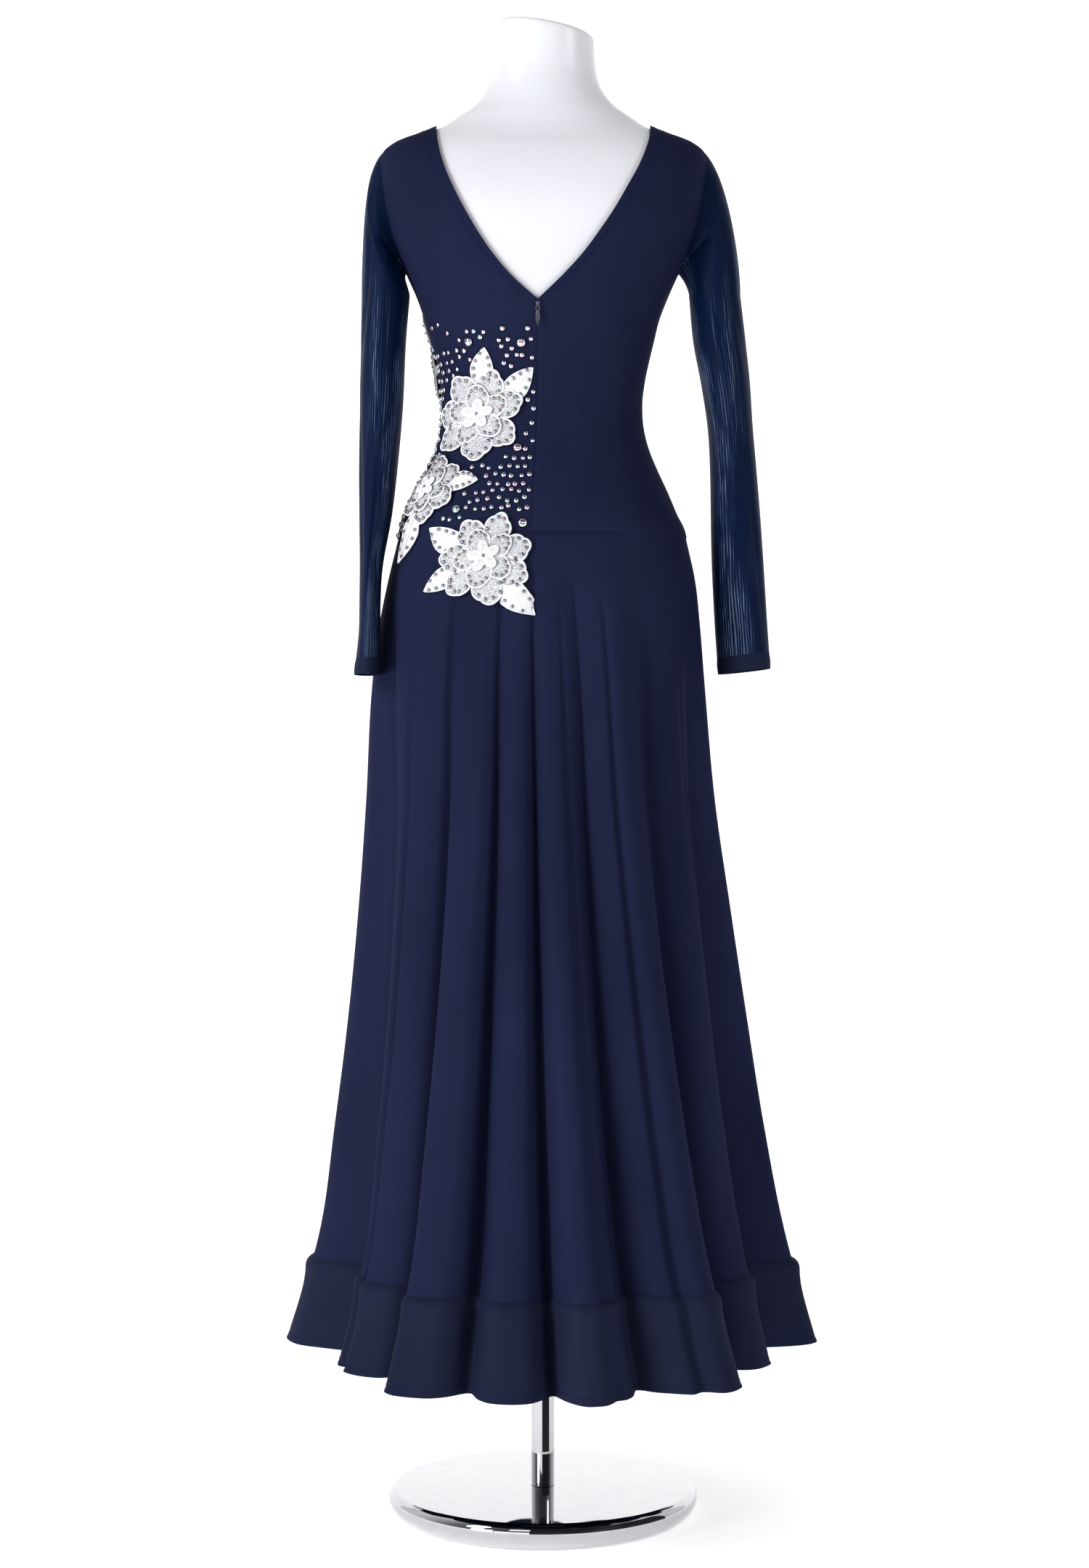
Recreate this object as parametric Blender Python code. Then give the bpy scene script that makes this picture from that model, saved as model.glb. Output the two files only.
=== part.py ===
"""Long-sleeved ballroom dress with a deep V back, on a limbless display form with a round stand.

Metres, +Z up. The origin is on the floor under the pole. The garment's back, with its zip and flowers,
faces -Y, its front faces +Y, and +X is on the right when the back is looked at.
An angle round the body is in degrees about the pole's axis: 0 is the back, 90 is +X and 180 the front.
"""

import math
from collections import namedtuple

import bmesh
import bpy
import numpy as np
from mathutils import Matrix, Vector

for old in list(bpy.data.objects):
    bpy.data.objects.remove(old, do_unlink=True)

# Cloth walls and the gaps between pieces
BODICE_CLOTH = 0.0015
SKIRT_CLOTH = 0.0015
MESH_CLOTH = 0.0012
BAND_CLOTH = 0.0025
CUFF_CLOTH = 0.0018
SEAM_GAP = 0.0004
FORM_CLEARANCE = 0.0020
CLOTH_OVER_FORM = FORM_CLEARANCE + BODICE_CLOTH

# Heights above the floor
HEM_Z = 0.201
BAND_TOP_Z = 0.297
FORM_BOTTOM_Z = 1.060
HIP_SEAM_Z = 1.125
V_BOTTOM_Z = 1.3883
UNDERARM_Z = 1.434
SHOULDER_TIP_Z = 1.577
FRONT_NECK_Z = 1.510
NECK_POINT_Z = 1.601
NECK_TOP_Z = 1.718

# Display form: half-widths and half-depths of its level sections
Section = namedtuple("Section", "z left right back front square")
FORM_SECTIONS = [
    Section(1.060, 0.157, 0.156, 0.124, 0.099, 2.2),
    Section(1.095, 0.1640, 0.1630, 0.1285, 0.101, 2.2),
    Section(1.129, 0.1640, 0.1625, 0.1270, 0.099, 2.2),
    Section(1.154, 0.1565, 0.1520, 0.1190, 0.096, 2.2),
    Section(1.180, 0.1450, 0.1410, 0.1080, 0.092, 2.2),
    Section(1.205, 0.1310, 0.1295, 0.0970, 0.088, 2.2),
    Section(1.230, 0.1200, 0.1195, 0.0880, 0.085, 2.2),
    Section(1.255, 0.1150, 0.1135, 0.0820, 0.084, 2.2),
    Section(1.281, 0.1140, 0.1120, 0.0790, 0.085, 2.2),
    Section(1.306, 0.1155, 0.1145, 0.0800, 0.090, 2.25),
    Section(1.331, 0.1195, 0.1195, 0.0840, 0.100, 2.3),
    Section(1.356, 0.1260, 0.1255, 0.0890, 0.111, 2.35),
    Section(1.382, 0.1340, 0.1320, 0.0940, 0.118, 2.4),
    Section(1.407, 0.1425, 0.1415, 0.0980, 0.118, 2.5),
    Section(1.432, 0.1535, 0.1525, 0.1010, 0.112, 2.6),
    Section(1.460, 0.1660, 0.1660, 0.1025, 0.103, 2.8),
    Section(1.490, 0.1765, 0.1770, 0.1010, 0.094, 3.0),
    Section(1.520, 0.1830, 0.1840, 0.0960, 0.085, 3.0),
    Section(1.550, 0.1860, 0.1875, 0.0870, 0.075, 2.9),
    Section(1.568, 0.1830, 0.1850, 0.0790, 0.068, 2.7),
    Section(1.580, 0.1690, 0.1710, 0.0720, 0.063, 2.5),
    Section(1.590, 0.1450, 0.1470, 0.0670, 0.060, 2.3),
    Section(1.600, 0.1210, 0.1235, 0.0630, 0.059, 2.2),
    Section(1.6135, 0.1000, 0.1030, 0.0590, 0.060, 2.1),
    Section(1.626, 0.0820, 0.0855, 0.0560, 0.061, 2.0),
    Section(1.642, 0.0680, 0.0715, 0.0530, 0.062, 2.0),
    Section(1.661, 0.0600, 0.0635, 0.0500, 0.062, 2.0),
    Section(1.685, 0.0560, 0.0605, 0.0485, 0.061, 2.0),
    Section(1.705, 0.0548, 0.0595, 0.0480, 0.060, 2.0),
]
FORM_COLUMNS = 28
FORM_ROW_HEIGHTS = (1.060, 1.064, 1.110, 1.154, 1.205, 1.255, 1.306, 1.356, 1.400, 1.440, 1.485, 1.525,
                    1.555, 1.572, 1.587, 1.600, 1.614, 1.632, 1.661, 1.700)
FORM_EDGE_ROUNDING = 0.004
FORM_SLIMMER_UNDER_CLOTH = 0.0016
FORM_SLIMMER_UP_TO_Z = 1.50
FORM_FULL_FROM_Z = 1.59
NECK_TOP_SLOPE = -0.167

# Deep V of the back, as the two edges' distance from the middle plane
NeckEdge = namedtuple("NeckEdge", "z left right")
BACK_NECK = [
    NeckEdge(1.3883, -0.0057, -0.0057),
    NeckEdge(1.4136, -0.0342, 0.0212),
    NeckEdge(1.4380, -0.0554, 0.0440),
    NeckEdge(1.4631, -0.0726, 0.0628),
    NeckEdge(1.4890, -0.0875, 0.0801),
    NeckEdge(1.5158, -0.1009, 0.0952),
    NeckEdge(1.5437, -0.1121, 0.1096),
    NeckEdge(1.5767, -0.1200, 0.1208),
    NeckEdge(1.6055, -0.1225, 0.1240),
]
FRONT_NECK_HALF_WIDTH = 0.121

# Angles of the seams that run up and down
CENTRE_BACK_AT_V = -3.2
CENTRE_BACK_AT_HIP = -5.3
SIDE_SEAM = 90.0
CENTRE_FRONT = 180.0
ARMHOLE_BACK_HALF_ANGLE = 13.0
ARMHOLE_FRONT_HALF_ANGLE = 14.0
ARMHOLE_STEPS = 7
BODICE_LOW_ROWS = (1.136, 1.152, 1.175, 1.200, 1.222, 1.244, 1.266, 1.290, 1.315, 1.342, 1.366)
SHOULDER_ROWS = (1.586, 1.594)
STRAP_DEG = 1.5
FRONT_NECK_FIRST_STEP = 0.004
BACK_PANEL_COLUMNS = 11
FRONT_HALF_COLUMNS = 9

# Skirt folds at the hem: each crest and the valley that follows it, going round from the left side seam
Fold = namedtuple("Fold", "crest_deg crest_r valley_deg valley_r")
FOLDS = [
    Fold(-93.0, 0.297, -69.0, 0.232),
    Fold(-47.0, 0.286, -37.5, 0.277),
    Fold(-26.0, 0.338, -15.0, 0.317),
    Fold(-6.0, 0.343, 2.1, 0.318),
    Fold(8.5, 0.355, 20.5, 0.306),
    Fold(34.0, 0.346, 48.0, 0.276),
    Fold(57.0, 0.292, 75.0, 0.250),
    Fold(87.0, 0.316, 102.0, 0.264),
    Fold(117.0, 0.318, 128.5, 0.272),
    Fold(140.0, 0.314, 151.0, 0.268),
    Fold(162.0, 0.309, 172.0, 0.270),
    Fold(183.0, 0.306, 194.0, 0.266),
    Fold(206.0, 0.309, 218.0, 0.270),
    Fold(231.0, 0.312, 247.0, 0.262),
]
STEPS_PER_SLOPE = 3
CREST_BREADTH = 1.25

# How the skirt widens and its folds deepen, from the hip seam (0) to the hem (1)
Flare = namedtuple("Flare", "down left right folded")
SKIRT_FLARE = [
    Flare(0.000, 0.000, 0.000, 0.00),
    Flare(0.050, 0.090, 0.068, 0.03),
    Flare(0.105, 0.170, 0.105, 0.10),
    Flare(0.187, 0.240, 0.145, 0.20),
    Flare(0.324, 0.290, 0.220, 0.36),
    Flare(0.460, 0.359, 0.340, 0.50),
    Flare(0.597, 0.452, 0.467, 0.63),
    Flare(0.733, 0.574, 0.600, 0.76),
    Flare(0.870, 0.714, 0.767, 0.89),
    Flare(1.000, 1.000, 1.000, 1.00),
]
SKIRT_ROWS_DOWN = (0.03, 0.065, 0.105, 0.16, 0.24, 0.34, 0.46, 0.60, 0.74, 0.87)
RidgeStep = namedtuple("RidgeStep", "below_top rise")
BAND_RIDGE = [
    RidgeStep(0.000, 0.0000),
    RidgeStep(0.003, 0.0045),
    RidgeStep(0.009, 0.0065),
    RidgeStep(0.018, 0.0045),
    RidgeStep(0.032, 0.0020),
    RidgeStep(0.055, 0.0005),
    RidgeStep(0.096, 0.0000),
]
BAND_ROWS_BELOW_TOP = (0.0, 0.0035, 0.010, 0.022, 0.050, BAND_TOP_Z - HEM_Z)

# How far the folds lean to the left at the hip, against where they meet the hem
Lean = namedtuple("Lean", "deg lean")
FOLD_LEAN = [
    Lean(-180.0, 0.0),
    Lean(-60.0, 0.0),
    Lean(-20.0, 1.5),
    Lean(0.0, 7.2),
    Lean(45.0, 6.0),
    Lean(75.0, 3.0),
    Lean(120.0, 0.0),
    Lean(180.0, 0.0),
]

# Sleeves: level sections below the underarm, by the distance of their inner and outer edges
SleeveSection = namedtuple("SleeveSection", "z inner outer middle_y half_depth")
LEFT_SLEEVE = [
    SleeveSection(1.407, 0.1540, 0.2096, -0.004, 0.046),
    SleeveSection(1.356, 0.1580, 0.2104, -0.008, 0.044),
    SleeveSection(1.281, 0.1610, 0.2112, -0.016, 0.042),
    SleeveSection(1.205, 0.1670, 0.2112, -0.026, 0.040),
    SleeveSection(1.154, 0.1725, 0.2104, -0.034, 0.038),
    SleeveSection(1.079, 0.1840, 0.2090, -0.047, 0.036),
    SleeveSection(1.028, 0.1850, 0.2090, -0.056, 0.035),
    SleeveSection(0.967, 0.1845, 0.2142, -0.064, 0.034),
]
RIGHT_SLEEVE = [
    SleeveSection(1.407, 0.1695, 0.2289, -0.002, 0.046),
    SleeveSection(1.356, 0.1742, 0.2348, -0.002, 0.044),
    SleeveSection(1.306, 0.1835, 0.2399, -0.003, 0.042),
    SleeveSection(1.255, 0.1910, 0.2432, -0.003, 0.040),
    SleeveSection(1.205, 0.1936, 0.2474, -0.004, 0.038),
    SleeveSection(1.154, 0.1944, 0.2516, -0.004, 0.037),
    SleeveSection(1.104, 0.1953, 0.2550, -0.005, 0.035),
    SleeveSection(1.028, 0.1990, 0.2597, -0.005, 0.033),
    SleeveSection(0.973, 0.2028, 0.2634, -0.006, 0.032),
]
SLEEVE_HEAD_STEPS = (0.0, 0.12, 0.28, 0.50, 0.75)
SLEEVE_LOWER_ROWS = 7
SLEEVE_HEAD_OUT = 0.075
SLEEVE_HEAD_DOWN = 0.070
LEFT_CUFF_TILT = 0.0
RIGHT_CUFF_TILT = 0.11
CUFF_HEIGHT = 0.0185

# Flowers of thick lace: middle, size, and the leaves that stand out between the petals
Flower = namedtuple("Flower", "name deg z stand_off radius petals turn leaves")
Leaf = namedtuple("Leaf", "deg reach half_width")
FLOWERS = [
    Flower("flower_upper", -45.0, 1.2600, 0.0012, 0.055, 7, 222.3,
           [Leaf(83.0, 0.077, 13.0), Leaf(39.0, 0.084, 15.0)]),
    Flower("flower_side", -61.5, 1.1749, 0.0018, 0.040, 6, 38.0,
           [Leaf(8.0, 0.064, 15.0), Leaf(112.0, 0.048, 14.0), Leaf(254.0, 0.084, 13.0)]),
    Flower("flower_lower", -24.9, 1.0919, 0.0019, 0.054, 7, 21.3,
           [Leaf(153.0, 0.084, 14.0), Leaf(207.0, 0.075, 16.0), Leaf(313.0, 0.086, 15.0)]),
    Flower("flower_front", -110.0, 1.3200, 0.0012, 0.042, 6, 25.0,
           [Leaf(80.0, 0.074, 17.0), Leaf(262.0, 0.072, 16.0)]),
]
FLOWER_SPOKES = 32
FLOWER_SCALLOP = 0.11
RingHeight = namedtuple("RingHeight", "share rise")
FLOWER_RINGS = [
    RingHeight(0.18, 0.0050),
    RingHeight(0.40, 0.0044),
    RingHeight(0.62, 0.0030),
    RingHeight(0.80, 0.0024),
    RingHeight(1.00, 0.0018),
]

# Large cut stones: angle, height and diameter
Stone = namedtuple("Stone", "deg z diameter")
STONES = [
    Stone(-48.8, 1.3438, 0.0110),
    Stone(-15.3, 1.3405, 0.0115),
    Stone(-16.9, 1.2213, 0.0110),
    Stone(-42.9, 1.1507, 0.0110),
    Stone(-9.8, 1.1329, 0.0118),
]
STONE_SIDES = 10
STONE_TABLE = 0.55
STONE_STAND_OFF = 0.0004

# Zip slider and its pull tab
SLIDER_SIZE = Vector((0.0046, 0.0022, 0.0080))
SLIDER_MIDDLE_Z = 1.3815
PULL_WIRE_RADIUS = 0.0005
PULL_RING_HALF_WIDTH = 0.0024
PULL_RING_DROP = 0.0066
PULL_PLATE_THICKNESS = 0.0009
PULL_PLATE_HALF_WIDTH = 0.0022
PULL_PLATE_TOP = 0.0096
PULL_LENGTH = 0.0236
BRIDGE_CLEARANCE = 0.0003
BRIDGE_RADIUS = 0.00045

# Stand
BASE_RADIUS = 0.1786
BASE_FOOT_RADIUS = 0.163
BASE_THICKNESS = 0.031
BASE_SIDES = 48
POLE_RADIUS = 0.0134
POLE_SIDES = 24

Look = namedtuple("Look", "color roughness metallic")
LOOKS = {
    "navy_jersey": Look((0.012, 0.014, 0.065), 0.62, 0.0),
    "navy_mesh": Look((0.010, 0.030, 0.110), 0.50, 0.0),
    "silver_lace": Look((0.80, 0.80, 0.83), 0.45, 0.0),
    "crystal": Look((0.85, 0.86, 0.90), 0.08, 0.0),
    "form_plastic": Look((0.86, 0.86, 0.89), 0.18, 0.0),
    "chrome": Look((0.80, 0.80, 0.82), 0.07, 1.0),
    "gunmetal": Look((0.10, 0.10, 0.13), 0.25, 1.0),
}


def smooth_through(xs, ys, x):
    """Monotone cubic curve through the points (xs, ys), read at x."""
    xs, ys = np.asarray(xs, float), np.asarray(ys, float)
    widths = np.diff(xs)
    chords = np.diff(ys) / widths
    slopes = np.concatenate(([chords[0]], (chords[1:] + chords[:-1]) / 2, [chords[-1]]))
    flat = chords[1:] * chords[:-1] <= 0
    slopes[1:-1][flat] = 0.0
    limits = 3 * np.minimum(np.abs(chords[1:]), np.abs(chords[:-1]))
    slopes[1:-1] = np.clip(slopes[1:-1], -limits, limits)
    x = np.clip(x, xs[0], xs[-1])
    k = np.clip(np.searchsorted(xs, x, side="right") - 1, 0, len(xs) - 2)
    t = (x - xs[k]) / widths[k]
    start, end = ys[k], ys[k + 1]
    rise_start, rise_end = slopes[k] * widths[k], slopes[k + 1] * widths[k]
    return ((2 * t**3 - 3 * t**2 + 1) * start + (t**3 - 2 * t**2 + t) * rise_start
            + (3 * t**2 - 2 * t**3) * end + (t**3 - t**2) * rise_end)


def column(table, name):
    return [getattr(row, name) for row in table]


def form_radius(deg, z):
    """Distance from the pole's axis to the display form's surface."""
    heights = column(FORM_SECTIONS, "z")
    left, right, back, front, square = (
        smooth_through(heights, column(FORM_SECTIONS, name), z)
        for name in ("left", "right", "back", "front", "square"))
    sine, cosine = np.sin(np.radians(deg)), np.cos(np.radians(deg))
    half_width = np.where(sine < 0, left, right)
    half_depth = np.where(cosine > 0, back, front)
    return (np.abs(sine / half_width) ** square + np.abs(cosine / half_depth) ** square) ** (-1 / square)


def radial_share(radius, deg, z):
    """Radial part of the unit normal of the surface that radius(deg, z) describes."""
    step_deg, step_z = 0.2, 0.0005
    here = radius(deg, z)
    round_slope = (radius(deg + step_deg, z) - radius(deg - step_deg, z)) / np.radians(2 * step_deg)
    up_slope = (radius(deg, z + step_z) - radius(deg, z - step_z)) / (2 * step_z)
    return 1 / np.sqrt(1 + (round_slope / here) ** 2 + up_slope**2)


def bodice_radius(deg, z):
    """Distance from the axis to the outside of the bodice cloth."""
    return form_radius(deg, z) + CLOTH_OVER_FORM / radial_share(form_radius, deg, z)


def fold_ends():
    """Angles and radii of the crests and valleys at the hem, in order, closed into a full turn."""
    degs, radii = [], []
    for fold in FOLDS:
        degs += [fold.crest_deg, fold.valley_deg]
        radii += [fold.crest_r, fold.valley_r]
    return np.array(degs + [degs[0] + 360.0]), np.array(radii + [radii[0]])


def hem_radius(deg):
    """Hem's outline: broad crests and narrower valleys."""
    degs, radii = fold_ends()
    turned = degs[0] + np.mod(deg - degs[0], 360.0)
    k = np.clip(np.searchsorted(degs, turned, side="right") - 1, 0, len(degs) - 2)
    share = (turned - degs[k]) / (degs[k + 1] - degs[k])
    from_crest = np.where(k % 2 == 0, share, 1 - share)
    crest = np.where(k % 2 == 0, radii[k], radii[k + 1])
    valley = np.where(k % 2 == 0, radii[k + 1], radii[k])
    return valley + (crest - valley) * 0.5 * (1 + np.cos(np.pi * from_crest**CREST_BREADTH))


def hem_envelope(deg):
    """Smooth outline that touches the hem's crests."""
    degs = np.array(column(FOLDS, "crest_deg"))
    radii = np.array(column(FOLDS, "crest_r"))
    degs = np.concatenate((degs[-2:] - 360, degs, degs[:2] + 360))
    radii = np.concatenate((radii[-2:], radii, radii[:2]))
    turned = FOLDS[0].crest_deg + np.mod(deg - FOLDS[0].crest_deg, 360.0)
    return smooth_through(degs, radii, turned)


def fold_lean(deg):
    wrapped = np.mod(np.asarray(deg, float) + 180.0, 360.0) - 180.0
    return smooth_through(column(FOLD_LEAN, "deg"), column(FOLD_LEAN, "lean"), wrapped)


def skirt_radius(deg, z):
    """Distance from the axis to the outside of the skirt cloth, below the hip seam."""
    down = (HIP_SEAM_Z - z) / (HIP_SEAM_Z - HEM_Z)
    left, right, folded = (smooth_through(column(SKIRT_FLARE, "down"), column(SKIRT_FLARE, name), down)
                           for name in ("left", "right", "folded"))
    widened = left + (right - left) * (1 + np.sin(np.radians(deg))) / 2
    at_hem = deg + fold_lean(deg) * (1 - down)
    hip = bodice_radius(deg, HIP_SEAM_Z + 0 * z)
    crest = hem_envelope(at_hem)
    return hip + (crest - hip) * widened - (crest - hem_radius(at_hem)) * folded


def band_radius(deg, z):
    """Outside of the stiffened hem band, with the ridge along its top edge."""
    rise = smooth_through(column(BAND_RIDGE, "below_top"), column(BAND_RIDGE, "rise"), BAND_TOP_Z - z)
    return skirt_radius(deg, z) + rise


def garment_radius(deg, z):
    """Outside of bodice and skirt together, for what lies on both."""
    deg, z = np.broadcast_arrays(np.asarray(deg, float), np.asarray(z, float))
    return np.where(z >= HIP_SEAM_Z, bodice_radius(deg, z), skirt_radius(deg, np.minimum(z, HIP_SEAM_Z)))


def at(radius, deg, z, lift=0.0):
    """Points of the surface radius(deg, z), moved out by lift along the surface's normal."""
    deg, z = np.broadcast_arrays(np.asarray(deg, float), np.asarray(z, float))
    r = radius(deg, z)
    step_deg, step_z = 0.2, 0.0005
    round_slope = (radius(deg + step_deg, z) - radius(deg - step_deg, z)) / np.radians(2 * step_deg)
    up_slope = (radius(deg, z + step_z) - radius(deg, z - step_z)) / (2 * step_z)
    sine, cosine = np.sin(np.radians(deg)), np.cos(np.radians(deg))
    out = np.stack([sine, -cosine, 0 * sine], -1)
    along = np.stack([cosine, sine, 0 * sine], -1)
    up = np.zeros_like(out)
    up[..., 2] = 1.0
    normal = out * r[..., None] - along * round_slope[..., None] - up * (r * up_slope)[..., None]
    normal /= np.linalg.norm(normal, axis=-1, keepdims=True)
    points = out * r[..., None] + up * z[..., None]
    return points + normal * np.asarray(lift)[..., None]


def angle_at_x(x, z):
    """Angle from the middle of the back (or front) at which the bodice is x from the middle plane."""
    low, high = 0.0, SIDE_SEAM
    for _ in range(40):
        middle = (low + high) / 2
        if bodice_radius(middle, np.float64(z)) * math.sin(math.radians(middle)) < abs(x):
            low = middle
        else:
            high = middle
    return math.copysign(middle, x)


def front_angle_at_x(x, z):
    """The same, measured on the front, as a full angle round the body."""
    low, high = 0.0, SIDE_SEAM
    for _ in range(40):
        middle = (low + high) / 2
        radius = bodice_radius(CENTRE_FRONT - middle, np.float64(z))
        if radius * math.sin(math.radians(middle)) < abs(x):
            low = middle
        else:
            high = middle
    return CENTRE_FRONT - math.copysign(middle, x)


def material(name):
    made = bpy.data.materials.get(name)
    if made is None:
        look = LOOKS[name]
        made = bpy.data.materials.new(name)
        made.use_nodes = True
        shader = made.node_tree.nodes["Principled BSDF"]
        shader.inputs["Base Color"].default_value = (*look.color, 1.0)
        shader.inputs["Roughness"].default_value = look.roughness
        shader.inputs["Metallic"].default_value = look.metallic
    return made


def add_object(name, mesh_bm, look, sharp_deg=40.0):
    """New object from a bmesh, with its material and smooth shading."""
    mesh = bpy.data.meshes.new(name)
    mesh_bm.to_mesh(mesh)
    mesh_bm.free()
    mesh.materials.append(material(look))
    mesh.shade_smooth()
    mesh.set_sharp_from_angle(angle=math.radians(sharp_deg))
    made = bpy.data.objects.new(name, mesh)
    bpy.context.scene.collection.objects.link(made)
    return made


def grid_faces(bm, rows, closed=False):
    """Quads between neighbouring rows of vertices."""
    for quad in grid_quads(rows, closed):
        bm.faces.new(quad)


def grid_quads(rows, closed=False):
    """Corners of the quads between neighbouring rows, counter-clockwise from outside."""
    quads = []
    for lower, upper in zip(rows[:-1], rows[1:]):
        count = len(lower)
        for i in range(count if closed else count - 1):
            j = (i + 1) % count
            quads.append((lower[i], lower[j], upper[j], upper[i]))
    return quads


def add_vertices(bm, points):
    return [[bm.verts.new(p) for p in row] for row in points]


def numbered(rows):
    """Rows of running numbers, one for each item of the rows given."""
    starts = np.cumsum([0] + [len(row) for row in rows])
    return [list(range(start, start + len(row))) for start, row in zip(starts, rows)]


def add_wall(name, outside, inside, quads, look):
    """Closed wall from matching outside and inside points and the quads of its outside."""
    bm = bmesh.new()
    outer = [bm.verts.new(p) for p in outside]
    inner = [bm.verts.new(p) for p in inside]
    edges = set()
    for quad in quads:
        bm.faces.new([outer[i] for i in quad])
        bm.faces.new([inner[i] for i in reversed(quad)])
        edges.update(zip(quad, quad[1:] + quad[:1]))
    for a, b in sorted(edges):
        if (b, a) not in edges:
            bm.faces.new((outer[b], outer[a], inner[a], inner[b]))
    return add_object(name, bm, look)


def cloth_sheet(name, rows, radius, thickness, look, quads=None):
    """Cloth piece on the surface radius(deg, z); rows hold (degs, z) from the bottom up."""
    degs = np.concatenate([row[0] for row in rows])
    heights = np.concatenate([np.full(len(row[0]), row[1]) for row in rows])
    quads = quads or grid_quads(numbered([row[0] for row in rows]))
    inside = at(radius, degs, heights, lift=np.full(len(degs), -thickness))
    return add_wall(name, at(radius, degs, heights), inside, quads, look)


def seam_inset(radius_there):
    """Angle that half a seam gap takes at that radius."""
    return math.degrees(SEAM_GAP / 2 / radius_there)


def centre_back(z):
    share = (z - HIP_SEAM_Z) / (V_BOTTOM_Z - HIP_SEAM_Z)
    return CENTRE_BACK_AT_HIP + (CENTRE_BACK_AT_V - CENTRE_BACK_AT_HIP) * min(max(share, 0.0), 1.0)


def armhole_half_angle(z, widest):
    """Half the angle that the armhole takes at a height, 0 above the shoulder tip and below the underarm."""
    middle = (UNDERARM_Z + SHOULDER_TIP_Z) / 2
    share = (z - middle) / (SHOULDER_TIP_Z - middle)
    return widest * math.sqrt(max(0.0, 1 - share * share))


def armhole_heights():
    middle = (UNDERARM_Z + SHOULDER_TIP_Z) / 2
    half = (SHOULDER_TIP_Z - UNDERARM_Z) / 2
    return [middle - half * math.cos(math.pi * k / ARMHOLE_STEPS) for k in range(ARMHOLE_STEPS + 1)]


def bodice_heights(extra):
    """Heights of the bodice's rows from just above the hip seam to the neck point."""
    bottom = HIP_SEAM_Z + SEAM_GAP / 2
    return sorted([bottom, *BODICE_LOW_ROWS, *armhole_heights(), *SHOULDER_ROWS, NECK_POINT_Z, *extra])


def back_panel(side):
    """One half of the back, from the zip or the V's edge to the side seam, armhole and shoulder seam."""
    edge_of_v = column(BACK_NECK, "left" if side < 0 else "right")
    rows = []
    for z in bodice_heights([V_BOTTOM_Z, (V_BOTTOM_Z + UNDERARM_Z) / 2]):
        outer = side * (SIDE_SEAM - armhole_half_angle(z, ARMHOLE_BACK_HALF_ANGLE) - seam_inset(0.15))
        seam = centre_back(z) + side * seam_inset(0.10)
        inner = seam
        if z > V_BOTTOM_Z:
            inner = angle_at_x(smooth_through(column(BACK_NECK, "z"), edge_of_v, z), z)
            inner = min(inner, seam) if side < 0 else max(inner, seam)
        if abs(inner) > abs(outer) - STRAP_DEG:
            inner = outer - side * STRAP_DEG
        start, end = (inner, outer) if side > 0 else (outer, inner)
        rows.append((np.linspace(start, end, BACK_PANEL_COLUMNS + 1), z))
    return rows


def front_panel():
    """Rows and quads of the front: whole up to the scooped neckline, then a shoulder at each side."""
    whole, right, left = [], [], []
    for z in bodice_heights([V_BOTTOM_Z, FRONT_NECK_Z, FRONT_NECK_Z + FRONT_NECK_FIRST_STEP]):
        half = SIDE_SEAM - armhole_half_angle(z, ARMHOLE_FRONT_HALF_ANGLE) - seam_inset(0.15)
        if z <= FRONT_NECK_Z:
            degs = np.linspace(CENTRE_FRONT - half, CENTRE_FRONT + half, 2 * FRONT_HALF_COLUMNS + 1)
            whole.append((degs, z))
            continue
        share = min(1.0, (NECK_POINT_Z - z) / (NECK_POINT_Z - FRONT_NECK_Z))
        inner = CENTRE_FRONT - front_angle_at_x(FRONT_NECK_HALF_WIDTH * math.sqrt(1 - share * share), z)
        inner = min(inner, half - STRAP_DEG)
        right.append((np.linspace(CENTRE_FRONT - half, CENTRE_FRONT - inner, FRONT_HALF_COLUMNS + 1), z))
        left.append((np.linspace(CENTRE_FRONT + inner, CENTRE_FRONT + half, FRONT_HALF_COLUMNS + 1), z))
    rows = whole + right + left
    numbers = numbered([row[0] for row in rows])
    below, shoulders = numbers[:len(whole)], numbers[len(whole):]
    right_numbers, left_numbers = shoulders[:len(right)], shoulders[len(right):]
    quads = grid_quads(below)
    quads += grid_quads([below[-1][:FRONT_HALF_COLUMNS + 1]] + right_numbers)
    quads += grid_quads([below[-1][FRONT_HALF_COLUMNS:]] + left_numbers)
    return rows, quads


def skirt_columns():
    """Hem angles of the skirt's columns: the crests, the valleys and the steps between them."""
    degs, _ = fold_ends()
    return [a + (b - a) * k / STEPS_PER_SLOPE
            for a, b in zip(degs[:-1], degs[1:]) for k in range(STEPS_PER_SLOPE)] + [degs[-1]]


SKIRT_PANELS = {"back_left": (-93.0, 2.1), "back_right": (2.1, 87.0),
                "front_right": (87.0, 172.0), "front_left": (172.0, 267.0)}


def skirt_sheet(span, heights):
    """Rows of one skirt or band panel between two crests or valleys, from the bottom up."""
    columns = [deg for deg in skirt_columns() if span[0] - 0.01 < deg < span[1] + 0.01]
    rows = []
    for z in sorted(heights):
        up = 1 - (HIP_SEAM_Z - z) / (HIP_SEAM_Z - HEM_Z)
        degs = np.array(columns) - fold_lean(np.array(columns)) * up
        inset = seam_inset(0.11 + 0.15 * (1 - up))
        degs[0] += inset
        degs[-1] -= inset
        rows.append((degs, z))
    return rows


def build_bodice():
    for name, side in (("bodice_back_left", -1), ("bodice_back_right", 1)):
        cloth_sheet(name, back_panel(side), bodice_radius, BODICE_CLOTH, "navy_jersey")
    rows, quads = front_panel()
    cloth_sheet("bodice_front", rows, bodice_radius, BODICE_CLOTH, "navy_jersey", quads)


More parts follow.
